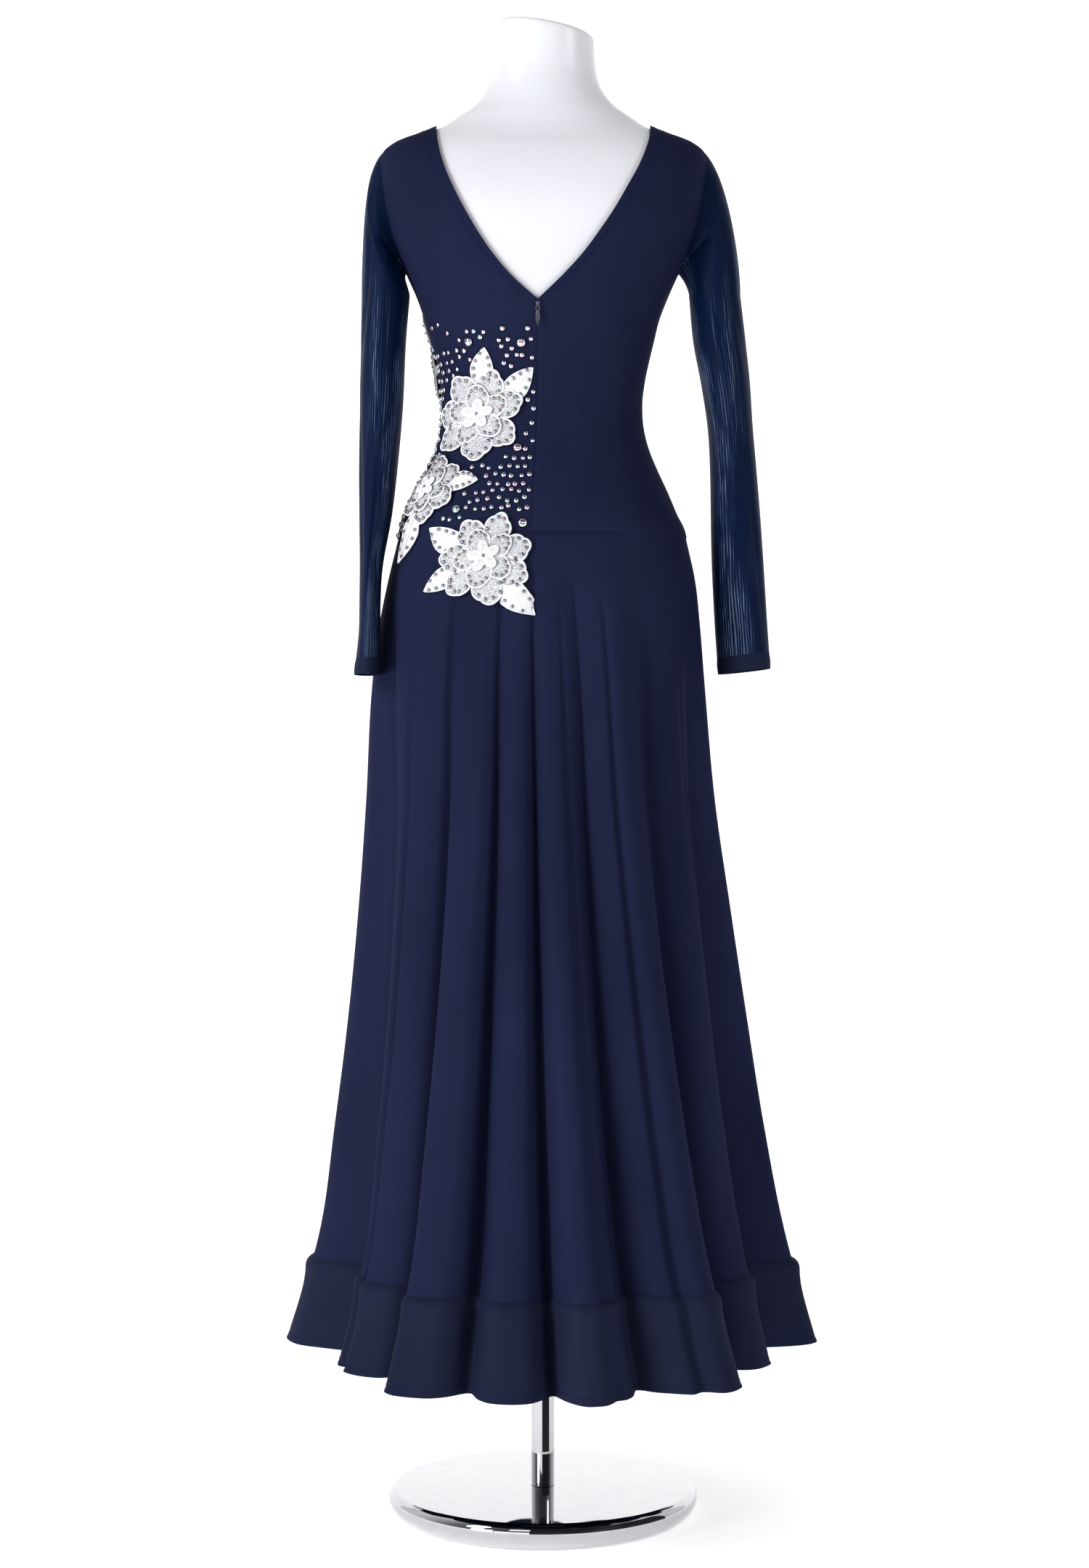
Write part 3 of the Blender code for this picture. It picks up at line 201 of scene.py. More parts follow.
# Name, angle and z of the centre, height off the cloth, radius, petals, turn of the first petal, and its
# leaves as (turn, reach, half width of their tip in degrees)
Flower = namedtuple("Flower", "name deg z off radius petals turn leaves")
FLOWERS = (
    Flower("upper", -45.0, 1.26, 0.0012, 0.055, 7, 222.3, ((83.0, 0.077, 13.0), (39.0, 0.084, 15.0))),
    Flower("side", -61.5, 1.1749, 0.0018, 0.04, 6, 38.0,
           ((8.0, 0.064, 15.0), (112.0, 0.048, 14.0), (254.0, 0.084, 13.0))),
    Flower("lower", -24.9, 1.0919, 0.0019, 0.054, 7, 21.3,
           ((153.0, 0.084, 14.0), (207.0, 0.075, 16.0), (313.0, 0.086, 15.0))),
    Flower("front", -110.0, 1.32, 0.0012, 0.042, 6, 25.0, ((80.0, 0.074, 17.0), (262.0, 0.072, 16.0))),
)
LARGE_STONES = np.array([
    # angle, z, diameter
    (-48.8, 1.3438, 0.011), (-15.3, 1.3405, 0.0115), (-16.9, 1.2213, 0.011), (-42.9, 1.1507, 0.011),
    (-9.8, 1.1329, 0.0118),
])
STONE_PITCH = 0.0112
STONE_ROWS = 26
STONES_IN_ROW = 30
FIRST_STONE_DEG = -8.0
LAST_STONE_DEG = -128
FIRST_STONE_Z = 1.1315
TOP_STONE_Z = 1.368
SMALL_STONE_DIAMETERS = (0.0058, 0.0063, 0.0067)
STONE_LIFT = 0.0004
SLEEVE_HEAD_OUT = 0.075
SLEEVE_HEAD_DOWN = 0.07
CUFF_HEIGHT = 0.0185
RIGHT_CUFF_TILT = 0.11


def sin_cos(deg):
    return np.sin(np.radians(deg)), np.cos(np.radians(deg))


def wrapped(deg):
    """The same angle between -180 and 180."""
    return np.mod(deg + 180.0, 360.0) - 180.0


def soft_line(distance, width):
    return np.exp(-((distance / width) ** 2))


def cubic(t):
    """Weights of a cubic curve's start, its slope there, its end and its slope there."""
    return 2 * t**3 - 3 * t**2 + 1, t**3 - 2 * t**2 + t, 3 * t**2 - 2 * t**3, t**3 - t**2


def through(table, x, *columns):
    """Monotone cubic curves through the columns of a table, read at x."""
    xs = table[:, 0]
    x = np.clip(x, xs[0], xs[-1])
    k = np.clip(np.searchsorted(xs, x, side="right") - 1, 0, len(xs) - 2)
    widths = np.diff(xs)
    start, leave, end, arrive = cubic((x - xs[k]) / widths[k])
    read = []
    for c in columns:
        ys = table[:, c]
        chords = np.diff(ys) / widths
        slopes = np.concatenate(([chords[0]], (chords[1:] + chords[:-1]) / 2, [chords[-1]]))
        slopes[1:-1][chords[1:] * chords[:-1] <= 0] = 0.0
        most = 3 * np.minimum(np.abs(chords[1:]), np.abs(chords[:-1]))
        slopes[1:-1] = np.clip(slopes[1:-1], -most, most)
        read.append(start * ys[k] + leave * slopes[k] * widths[k]
                    + end * ys[k + 1] + arrive * slopes[k + 1] * widths[k])
    return read[0] if len(read) == 1 else read


def form_radius(deg, z):
    left, right, back, front, square = through(FORM_SECTIONS, z, 1, 2, 3, 4, 5)
    sine, cosine = sin_cos(deg)
    half_width = np.where(sine < 0, left, right)
    half_depth = np.where(cosine > 0, back, front)
    return (np.abs(sine / half_width) ** square + np.abs(cosine / half_depth) ** square) ** (-1 / square)


def slopes_of(radius, deg, z):
    step_deg, step_z = 0.2, 0.0005
    round_slope = (radius(deg + step_deg, z) - radius(deg - step_deg, z)) / np.radians(2 * step_deg)
    up_slope = (radius(deg, z + step_z) - radius(deg, z - step_z)) / (2 * step_z)
    return round_slope, up_slope


def bodice_radius(deg, z):
    round_slope, up_slope = slopes_of(form_radius, deg, z)
    here = form_radius(deg, z)
    return here + CLOTH_OVER_FORM * np.sqrt(1 + (round_slope / here) ** 2 + up_slope**2)


def hem_radius(deg):
    degs, radii = FOLDS[:, (0, 2)].ravel(), FOLDS[:, (1, 3)].ravel()
    degs, radii = np.append(degs, degs[0] + 360.0), np.append(radii, radii[0])
    turned = degs[0] + np.mod(deg - degs[0], 360.0)
    k = np.clip(np.searchsorted(degs, turned, side="right") - 1, 0, len(degs) - 2)
    share = (turned - degs[k]) / (degs[k + 1] - degs[k])
    from_crest = np.where(k % 2 == 0, share, 1 - share)
    crest = np.where(k % 2 == 0, radii[k], radii[k + 1])
    valley = np.where(k % 2 == 0, radii[k + 1], radii[k])
    return valley + (crest - valley) * 0.5 * (1 + np.cos(np.pi * from_crest**CREST_BREADTH))


def hem_envelope(deg):
    crests, turn = FOLDS[:, :2], np.array([360.0, 0.0])
    crests = np.concatenate((crests[-2:] - turn, crests, crests[:2] + turn))
    return through(crests, FOLDS[0, 0] + np.mod(deg - FOLDS[0, 0], 360.0), 1)


def fold_lean(deg):
    return through(FOLD_LEAN, wrapped(np.asarray(deg, float)), 1)


def down_skirt(z):
    """Share of the way from the hip seam to the hem."""
    return (HIP_SEAM_Z - z) / (HIP_SEAM_Z - HEM_Z)


def skirt_radius(deg, z):
    down = down_skirt(z)
    left, right, folded = through(SKIRT_FLARE, down, 1, 2, 3)
    widened = left + (right - left) * (1 + np.sin(np.radians(deg))) / 2
    at_hem = deg + fold_lean(deg) * (1 - down)
    hip = bodice_radius(deg, HIP_SEAM_Z + 0 * z)
    crest = hem_envelope(at_hem)
    return hip + (crest - hip) * widened - (crest - hem_radius(at_hem)) * folded


def small_folds(deg, z):
    """Soft ridges and grooves that the main folds break into, deepest at the hem."""
    at_hem = deg + fold_lean(deg) * (1 - down_skirt(z))
    rise = np.zeros(np.broadcast(deg, z).shape)
    for angle, top, height, width in SMALL_FOLDS:
        share = np.clip((top - z) / (top - HEM_Z - 0.05), 0, 1)
        rise += height * share**0.6 * soft_line(wrapped(at_hem - angle), width * (0.75 + 0.45 * share))
    return rise


def visual_skirt(deg, z):
    return skirt_radius(deg, z) + small_folds(deg, z)


def visual_band(deg, z):
    return skirt_radius(deg, z) + through(BAND_RIDGE, BAND_TOP_Z - z, 1) + small_folds(deg, z)


def garment_radius(deg, z, skirt=skirt_radius):
    return np.where(z >= HIP_SEAM_Z, bodice_radius(deg, z), skirt(deg, np.minimum(z, HIP_SEAM_Z)))


def visual_garment(deg, z):
    return garment_radius(deg, z, visual_skirt)


def surface(radius, deg, z, lift=0.0):
    """Points of the surface radius(deg, z), moved out by lift, and the surface's normals there."""
    deg, z = np.broadcast_arrays(np.asarray(deg, float), np.asarray(z, float))
    r = radius(deg, z)
    round_slope, up_slope = slopes_of(radius, deg, z)
    sine, cosine = sin_cos(deg)
    out = np.stack([sine, -cosine, 0 * sine], -1)
    along = np.stack([cosine, sine, 0 * sine], -1)
    up = np.zeros_like(out)
    up[..., 2] = 1.0
    normal = out * r[..., None] - along * round_slope[..., None] - up * (r * up_slope)[..., None]
    normal /= np.linalg.norm(normal, axis=-1, keepdims=True)
    return out * r[..., None] + up * z[..., None] + normal * np.asarray(lift)[..., None], normal


def at(radius, deg, z, lift=0.0):
    return surface(radius, deg, z, lift)[0]


def angle_at_x(x, z, front=False):
    """Angles from the middle of the back, or of the front, at which the bodice is x from the middle plane."""
    low, high = np.zeros_like(z), np.full_like(z, 90.0)
    for _ in range(30):
        middle = (low + high) / 2
        reach = bodice_radius(180.0 - middle if front else np.copysign(middle, x), z)
        inside = reach * np.sin(np.radians(middle)) < np.abs(x)
        low, high = np.where(inside, middle, low), np.where(inside, high, middle)
    return np.copysign(low, x)


# Meshes

def grid_quads(rows, columns, closed=False):
    """Quads of a grid of points numbered row by row, counter-clockwise from outside."""
    i, j = np.meshgrid(np.arange(rows - 1), np.arange(columns if closed else columns - 1), indexing="ij")
    k = (j + 1) % columns
    quads = np.stack([i * columns + j, i * columns + k, (i + 1) * columns + k, (i + 1) * columns + j], -1)
    return quads.reshape(-1, 4)


def end_quads(sides, start):
    """Quads that close a ring with an even number of points."""
    return np.array([(start, start + k + 2, start + k + 1, start + k) for k in range(1, sides - 2, 2)])


def capped_quads(rows, sides):
    """Quads of a tube of rings with a cap at each end."""
    ends = [end_quads(sides, 0), end_quads(sides, (rows - 1) * sides)[:, ::-1]]
    return np.concatenate([grid_quads(rows, sides, closed=True)] + ends)


def quad_areas(points, quads):
    """Normals of the quads, twice as long as each quad's area."""
    return np.cross(points[quads[:, 2]] - points[quads[:, 0]], points[quads[:, 3]] - points[quads[:, 1]])


def point_normals(points, quads):
    across, normals = quad_areas(points, quads), np.zeros_like(points)
    for corner in range(4):
        np.add.at(normals, quads[:, corner], across)
    return normals / np.maximum(np.linalg.norm(normals, axis=1, keepdims=True), 1e-12)


def wall_quads(quads, count):
    """Quads of a closed wall: the outside, the inside numbered from count, and the rim between them."""
    starts, ends = quads.ravel(), np.roll(quads, -1, axis=1).ravel()
    free = ~np.isin(starts.astype(np.int64) * count + ends, ends.astype(np.int64) * count + starts)
    a, b = starts[free], ends[free]
    return np.concatenate([quads, quads[:, ::-1] + count, np.stack([b, a, a + count, b + count], -1)])


def linked(name, data):
    made = bpy.data.objects.new(name, data)
    bpy.context.scene.collection.objects.link(made)
    return made


def finished(name, mesh, smooth=True, sharp=None):
    if smooth:
        mesh.shade_smooth()
    if sharp is not None:
        mesh.set_sharp_from_angle(angle=math.radians(sharp))
    return linked(name, mesh)


def from_bmesh(name, bm, look, sharp=None):
    mesh = bpy.data.meshes.new(name)
    bm.to_mesh(mesh)
    bm.free()
    mesh.materials.append(look)
    return finished(name, mesh, sharp=sharp)


def add_mesh(name, points, quads, materials, uv=None, slots=None, smooth=True, sharp=None):
    """Object from arrays of points and quads; uv holds a pair for each point, in metres."""
    mesh = bpy.data.meshes.new(name)
    mesh.vertices.add(len(points))
    mesh.vertices.foreach_set("co", np.asarray(points, np.float32).ravel())
    mesh.loops.add(quads.size)
    mesh.loops.foreach_set("vertex_index", quads.ravel().astype(np.int32))
    mesh.polygons.add(len(quads))
    mesh.polygons.foreach_set("loop_start", np.arange(0, quads.size, 4, dtype=np.int32))
    if uv is not None:
        layer = mesh.uv_layers.new(name="Metres")
        layer.data.foreach_set("uv", np.asarray(uv, np.float32)[quads.ravel()].ravel())
    for made in materials:
        mesh.materials.append(made)
    if slots is not None:
        mesh.polygons.foreach_set("material_index", np.asarray(slots, np.int32))
    mesh.update()
    mesh.validate()
    return finished(name, mesh, smooth, sharp)


def ride(piece, body, slot, *replaced):
    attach(piece, body)
    if replaced:
        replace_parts(piece, *replaced)
    return piece


def cut_size(points, quads, rows, columns, closed=False):
    """Width, length and area of the flat cut that the outside was made from."""
    grid = points[:rows * columns].reshape(rows, columns, 3)
    steps = np.linalg.norm(np.diff(grid, axis=1), axis=2).sum(axis=1)
    if closed:
        steps = steps + np.linalg.norm(grid[:, 0] - grid[:, -1], axis=1)
    length = np.linalg.norm(np.diff(grid, axis=0), axis=2).sum(axis=0).max()
    area = np.linalg.norm(quad_areas(points, quads), axis=1).sum() / 2
    return float(steps.max()), float(length), float(area)


def pairs(across, height):
    return np.stack(np.broadcast_arrays(across, height), -1).reshape(-1, 2)


def cloth(name, points, quads, wall, look, uv, slot, *replaced):
    """Closed cloth wall that reaches inward from its outside."""
    inside = points - point_normals(points, quads) * wall
    piece = add_mesh(name, np.concatenate([points, inside]), wall_quads(quads, len(points)), [look],
                     np.concatenate([uv, uv]), sharp=60)
    return ride(piece, MAIN, slot, *replaced)


def sewn(name, radius, degs, z, lift, wall, look, girth, *replaced):
    """Cloth over a grid of angles and heights, and its flat cut; girth is the radius that its UV takes."""
    rows, columns = degs.shape
    points, quads = at(radius, degs, z, lift=lift).reshape(-1, 3), grid_quads(rows, columns)
    piece = cloth(name, points, quads, wall, look, pairs(np.radians(degs) * girth, z), "jersey", *replaced)
    return piece, cut_size(points, quads, rows, columns)


# Materials

class Look:
    """Nodes of a material or world, with short ways to add more; an input is a value or a socket to link.

    Inputs are set by name, with _ for a space. UV coordinates are in metres.
    """

    def __init__(self, owner, shader="Principled BSDF", **inputs):
        owner.use_nodes = True
        self.owner, self.tree = owner, owner.node_tree
        self.shader = self.tree.nodes[shader]
        self.feed(**inputs)

    def put(self, socket, value):
        if isinstance(value, bpy.types.NodeSocket):
            self.tree.links.new(value, socket)
        else:
            socket.default_value = value

    def feed(self, **inputs):
        for key, value in inputs.items():
            self.put(self.shader.inputs[key.replace("_", " ")], value)

    def add(self, kind, output, **inputs):
        node = self.tree.nodes.new("ShaderNode" + kind)
        for key, value in inputs.items():
            self.put(node.inputs[key.replace("_", " ")], value)
        return node.outputs[output]

    def place(self, source, stretch=(1, 1, 1)):
        coordinates = self.tree.nodes.new("ShaderNodeTexCoord").outputs[source]
        return self.add("Mapping", "Vector", Vector=coordinates, Scale=stretch)

    def noise(self, source, stretch, scale, detail=3.0, distortion=0.0):
        return self.add("TexNoise", "Fac", Vector=self.place(source, stretch), Scale=scale, Detail=detail,
                        Distortion=distortion)

    def wave(self, stretch, direction="X", **inputs):
        made = self.add("TexWave", "Fac", Vector=self.place("UV", stretch), **inputs)
        made.node.bands_direction = direction
        return made

    def ramp(self, factor, *stops):
        """Colour ramp through (position, colour) stops."""
        made = self.add("ValToRGB", "Color", Fac=factor)
        elements = made.node.color_ramp.elements
        while len(elements) < len(stops):
            elements.new(0.5)
        for element, (position, color) in zip(elements, stops):
            element.position, element.color = position, (*color, 1.0)
        return made

    def scaled(self, value, low, high, from_low=0.0, from_high=1.0):
        return self.add("MapRange", "Result", Value=value, From_Min=from_low, From_Max=from_high, To_Min=low,
                        To_Max=high)

    def math(self, operation, *values):
        made = self.tree.nodes.new("ShaderNodeMath")
        made.operation = operation
        for socket, value in zip(made.inputs, values):
            self.put(socket, value)
        return made.outputs["Value"]

    def mix(self, a, share, b, rest):
        return self.math("ADD", self.math("MULTIPLY", a, share), self.math("MULTIPLY", b, rest))

    def bump(self, height, strength, distance):
        self.feed(Normal=self.add("Bump", "Normal", Height=height, Strength=strength, Distance=distance))

    def knit(self, pitch):
        """Height of a fine knit: columns of loops, pitch metres apart."""
        turns = (1 / pitch, 1 / pitch, 1)
        lines = self.wave(turns, Scale=0.318, Distortion=0.6, Detail=1.0)
        return self.math("MULTIPLY", lines, self.wave(turns, "Y", Scale=0.45, Distortion=0.8, Detail=1.0))


def principled(name, color, roughness, **inputs):
    return Look(bpy.data.materials.new(name), Base_Color=(*color, 1.0), Roughness=roughness, **inputs)


def jersey(name, dark, light, roughness=0.7):
    made = principled(name, light, roughness, Sheen_Weight=0.01, Sheen_Roughness=0.4,
                      Sheen_Tint=(0.15, 0.22, 0.95, 1.0), Specular_IOR_Level=0.012)
    cloudy = made.noise("Object", (1, 1, 0.35), 9.0, 4.0)
    fine = made.noise("UV", (1, 1, 1), 900.0, 2.0)
    made.feed(Base_Color=made.ramp(made.mix(cloudy, 0.8, fine, 0.2), (0.3, dark), (0.7, light)),
              Roughness=made.scaled(fine, roughness - 0.08, roughness + 0.08, 0.3, 0.7))
    made.bump(made.knit(0.0008), 0.22, 0.0002)
    return made.owner


def sheer(name):
    """Sheer power mesh: see-through, with watered streaks where its two layers lie over each other; the
    streaks let more of the backdrop through and are also painted lighter, a painted light from behind.
    """
    made = principled(name, (0.0012, 0.005, 0.021), 0.5, Sheen_Weight=0.01, Sheen_Roughness=0.35,
                      Sheen_Tint=(0.35, 0.5, 0.95, 1.0), Specular_IOR_Level=0.04)
    grain = made.scaled(made.noise("UV", (1, 0.06, 1), 420.0, 3.0, 0.6), 0.0, 1.0, 0.36, 0.62)
    watered = made.wave((1, 0.2, 1), Scale=62.0, Distortion=9.0, Detail=2.0, Detail_Scale=0.5)
    patches = made.scaled(made.noise("UV", (1, 0.22, 1), 15.0, 2.0, 0.6), 0.0, 1.0, 0.45, 0.6)
    lines = made.math("MULTIPLY", made.scaled(watered, 0.0, 1.0, 0.35, 0.95), patches)
    streaks = made.math("MULTIPLY", lines, grain)
    cloudy = made.scaled(made.noise("UV", (1, 0.25, 1), 14.0, 2.0), 0.99, 0.93, 0.35, 0.7)
    # The lighter colour in the streaks is painted light, standing for the backdrop's light coming through
    # both layers; their lower alpha is real see-through
    made.feed(Base_Color=made.ramp(streaks, (0.02, (0.0012, 0.0056, 0.024)), (0.22, (0.011, 0.023, 0.062)),
                                   (0.7, (0.085, 0.115, 0.195))),
              Alpha=made.math("SUBTRACT", cloudy, made.math("MULTIPLY", streaks, 0.25)))
    made.bump(made.knit(0.0007), 0.25, 0.0002)
    return made.owner


def lace_fill(name):
    """Ground of silver thread that glitters: small cells, some bright metal and some dark."""
    made = principled(name, (0.55, 0.56, 0.6), 0.4, Specular_IOR_Level=0.6)
    color = made.add("TexVoronoi", "Color", Vector=made.place("Object"), Scale=1300.0)
    distance = color.node.outputs["Distance"]
    made.feed(Base_Color=made.ramp(color, (0.12, (0.17, 0.175, 0.19)), (0.45, (0.54, 0.55, 0.58)),
                                   (0.8, (0.9, 0.9, 0.92))),
              Roughness=made.scaled(distance, 0.18, 0.55),
              Metallic=made.scaled(color, 0.0, 0.85, 0.3, 0.9))
    made.bump(distance, 0.9, 0.0008)
    return made.owner


def satin_thread(name):
    """White satin stitch: threads slant away on both sides of the middle."""
    made = principled(name, (0.78, 0.78, 0.81), 0.36, Sheen_Weight=0.1, Anisotropic=0.4)
    across = made.add("SeparateXYZ", "X", Vector=made.place("UV"))
    beside = made.math("MULTIPLY", made.math("ABSOLUTE", across), -0.9)
    slant = made.math("ADD", across.node.outputs["Y"], beside)
    threads = made.math("SINE", made.math("MULTIPLY", slant, 2 * math.pi / 0.0021))
    threads = made.scaled(threads, 0.0, 1.0, -1.0, 1.0)
    mixed = made.mix(threads, 0.7, made.noise("Object", (1, 1, 1), 1500.0, 2.0), 0.3)
    made.feed(Base_Color=made.ramp(mixed, (0.2, (0.46, 0.47, 0.51)), (0.65, (0.88, 0.88, 0.9))))
    made.bump(mixed, 0.8, 0.0005)
    return made.owner


def crystal(name, depth=1.0):
    """Foil-backed cut glass with the rainbow coat that such stones have; a depth below 1 scales its colours
    down, a painted shade for the dark surroundings that the stones mirror.
    """
    made = principled(name, (0.8, 0.82, 0.88), 0.06, Metallic=1.0, Coat_Weight=1.0, Coat_Roughness=0.02,
                      Specular_IOR_Level=0.9)
    tint = made.noise("Object", (1, 1, 1), 130.0, 1.0)
    stops = ((0.3, (0.34, 0.46, 0.75)), (0.42, (0.62, 0.64, 0.7)), (0.5, (0.72, 0.42, 0.52)),
             (0.56, (0.62, 0.64, 0.68)), (0.66, (0.38, 0.62, 0.48)))
    # depth below 1 darkens every colour: painted shade, not a colour of the glass
    deep = [(place, tuple(depth * c for c in color)) for place, color in stops]
    made.feed(Base_Color=made.ramp(tint, *deep), Roughness=made.scaled(tint, 0.04, 0.12, 0.3, 0.7))
    return made.owner


def milky_plastic(name):
    made = principled(name, (0.58, 0.58, 0.61), 0.3, Coat_Weight=0.25, Coat_Roughness=0.22,
                      Subsurface_Weight=0.15, Subsurface_Scale=0.01)
    cloudy = made.noise("Object", (1, 1, 1), 6.0, 3.0)
    made.feed(Base_Color=made.ramp(cloudy, (0.3, (0.565, 0.57, 0.605)), (0.7, (0.605, 0.61, 0.64))),
              Roughness=made.scaled(made.noise("Object", (1, 1, 1), 45.0, 4.0), 0.26, 0.36))
    made.bump(cloudy, 0.06, 0.002)
    return made.owner


def metal(name, color, low, high, scale=60.0):
    made = principled(name, color, low, Metallic=1.0)
    wear = made.noise("Object", (1, 1, 1), scale, 5.0)
    made.feed(Roughness=made.scaled(wear, low, high, 0.35, 0.65),
              Base_Color=made.ramp(wear, (0.3, tuple(0.93 * c for c in color)), (0.7, color)))
    return made.owner


JERSEY = jersey("navy_jersey", (0.0068, 0.009, 0.0262), (0.0106, 0.0136, 0.0388))
BAND = jersey("navy_jersey_band", (0.0072, 0.0098, 0.0242), (0.011, 0.0144, 0.0336), 0.62)
SHEER = sheer("navy_mesh")
THREAD = jersey("navy_thread", (0.01, 0.013, 0.06), (0.014, 0.018, 0.08), 0.45)
FILL = lace_fill("silver_lace")
SATIN = satin_thread("white_satin_thread")
CRYSTAL = crystal("rainbow_crystal")
# Stones on the lace: the same crystal painted darker, a painted shade for the dark surroundings they mirror
CRYSTAL_PAINTED_DARK_ON_LACE = crystal("rainbow_crystal_on_lace", 0.34)
PLASTIC = milky_plastic("milky_plastic")
CHROME = metal("polished_chrome", (0.58, 0.58, 0.6), 0.02, 0.05)
GUNMETAL = metal("gunmetal", (0.11, 0.11, 0.14), 0.18, 0.34, 900.0)


# Display form and stand

def rings_mesh(name, rings, material):
    """Closed piece from rings of points, from the bottom up, capped at both ends."""
    bm = bmesh.new()
    rows = [[bm.verts.new(p) for p in ring] for ring in rings]
    for lower, upper in zip(rows[:-1], rows[1:]):
        for i in range(len(lower)):
            j = (i + 1) % len(lower)
            bm.faces.new((lower[i], lower[j], upper[j], upper[i]))
    bm.faces.new(rows[0][::-1])
    bm.faces.new(rows[-1])
    return from_bmesh(name, bm, material, sharp=50)


def circle(radius, z, sides):
    turns = np.linspace(0, 2 * np.pi, sides, endpoint=False)
    return np.stack([radius * np.sin(turns), -radius * np.cos(turns), np.full(sides, z)], -1)


def rounded(radius, z, inward, down, steps=6):
    """Quarter round from (radius, z - down) to (radius - inward, z), as profile points."""
    turns = np.linspace(0, np.pi / 2, steps)
    return [(radius - inward * (1 - math.cos(t)), z - down * (1 - math.sin(t))) for t in turns]


def build_form():
    degs, corner, mean_radius = np.linspace(0, 360, 112, endpoint=False), 0.005, 0.057

    def ring_at(read_z, z, slimmer):
        ring = at(form_radius, degs, read_z + 0 * degs, lift=-slimmer + 0 * degs)
        ring[:, 2] = z
        return ring

    rings = [ring_at(FORM_BOTTOM_Z, FORM_BOTTOM_Z + up, FORM_SLIMMER_UNDER_CLOTH + inward)
             for inward, up in ((0.006, 0.0), (0.0025, 0.0008), (0.0007, 0.0025))]
    for z in np.concatenate([np.linspace(FORM_BOTTOM_Z + 0.006, 1.54, 70), np.linspace(1.545, 1.7, 60)]):
        share = (FORM_FULL_FROM_Z - z) / (FORM_FULL_FROM_Z - FORM_SLIMMER_UP_TO_Z)
        rings.append(ring_at(z, z, FORM_SLIMMER_UNDER_CLOTH * min(max(share, 0.0), 1.0)))
    top = at(form_radius, degs, FORM_SECTIONS[-1, 0] + 0 * degs)
    edge = [(mean_radius - r, -dz) for r, dz in rounded(mean_radius, 0.0, corner, corner)]
    for inward, down in [(0.0, 0.01)] + edge:
        share = 1 - inward / mean_radius
        ring = top * share
        ring[:, 2] = NECK_TOP_Z - down + NECK_TOP_SLOPE * top[:, 0] * share
        rings.append(ring)
    ride(rings_mesh("form_skin", rings, PLASTIC), MAIN, "form", "form_torso")


def build_stand():
    edge = BASE_RADIUS
    profile = [(BASE_FOOT_RADIUS, 0.0), (edge - 0.009, 0.0032), (edge - 0.0048, 0.0072)]
    profile += [(edge - 0.0018, 0.012), (edge - 0.0004, 0.017)]
    profile += rounded(edge - 0.0002, BASE_THICKNESS, 0.0095, 0.0105, 9)
    base = rings_mesh("base_disc", [circle(r, z, 128) for r, z in profile], CHROME)
    ride(base, MAIN, "chrome", "stand_base")
    heights = np.linspace(BASE_THICKNESS + SEAM_GAP, FORM_BOTTOM_Z - SEAM_GAP, 12)
    pole = rings_mesh("pole_tube", [circle(POLE_RADIUS, z, 64) for z in heights], CHROME)
    ride(pole, MAIN, "chrome", "stand_pole")


# Bodice

def armhole_edge(z, widest):
    """Angle from the middle at which the bodice ends, at the side seam or the armhole."""
    half = widest * np.sqrt(np.maximum(0.0, 1 - ((z - ARMHOLE_MIDDLE_Z) / ARMHOLE_HALF_HEIGHT) ** 2))
    return 90.0 - half - np.degrees(CLOSED_SEAM / 2 / SIDE_SEAM_RADIUS)


def bodice_rows(count, *also):
    """Heights of the rows: even ones, closer ones along the armhole, and those asked for."""
    even = np.linspace(HIP_SEAM_Z + CLOSED_SEAM / 2, NECK_POINT_Z, count)
    near_armhole = ARMHOLE_MIDDLE_Z - ARMHOLE_HALF_HEIGHT * np.cos(np.pi * np.arange(41) / 40)
    rows = np.sort(np.concatenate([even, near_armhole, also]))
    fixed = np.isin(rows, np.concatenate([even[[0, -1]], near_armhole[[0, -1]], also]))
    kept = [0]
    for i in range(1, len(rows)):
        if rows[i] - rows[kept[-1]] > 0.0009:
            kept.append(i)
        elif fixed[i]:
            kept[-1] = i
    return rows[kept]


def seam_deg(z):
    share = np.clip((z - HIP_SEAM_Z) / (V_BOTTOM_Z - HIP_SEAM_Z), 0, 1)
    return CENTRE_BACK_AT_HIP + (CENTRE_BACK_AT_V - CENTRE_BACK_AT_HIP) * share


def back_edge(z, side):
    return angle_at_x(through(BACK_NECK, z, 1 if side < 0 else 2), z)


def bodice_relief(deg, z, edge_distance):
    """Height of the cloth's small shapes: turned edge, darts, the zip's seam and drag lines."""
    rise = 0.0005 * (1 - 1 / (1 + np.exp(-(edge_distance - 0.0075) / 0.0004)))
    rise -= 0.0003 * soft_line(edge_distance - 0.006, 0.0006)
    metres = np.radians(1.0) * form_radius(deg, z)
    for top, bottom, low_z, high_z in DARTS:
        centre = bottom + (top - bottom) * (z - low_z) / (high_z - low_z)
        along = np.clip((z - low_z) / 0.02, 0, 1) * np.clip((high_z - z) / 0.03, 0, 1)
        rise = rise - 0.0008 * along * soft_line((deg - centre) * metres, 0.0011)
        rise = rise + 0.0004 * along * soft_line((deg - centre) * metres - 0.004, 0.003)
    back = (np.abs(deg) < 60) & (z < V_BOTTOM_Z + 0.001)
    from_seam = np.abs(deg - seam_deg(z)) * metres
    seam = 0.0006 * soft_line(from_seam - 0.0035, 0.0022) - 0.0006 * soft_line(from_seam, 0.0011)
    rise = rise + np.where(back, seam, 0)
    for centre, middle, lean, half, height, width in DRAG_LINES:
        line = centre + lean * (z - middle)
        rise = rise + height * soft_line(z - middle, half) * soft_line(deg - line, width)
    return rise + 0.0005 * soft_line(z - HIP_SEAM_Z - 0.004, 0.003)


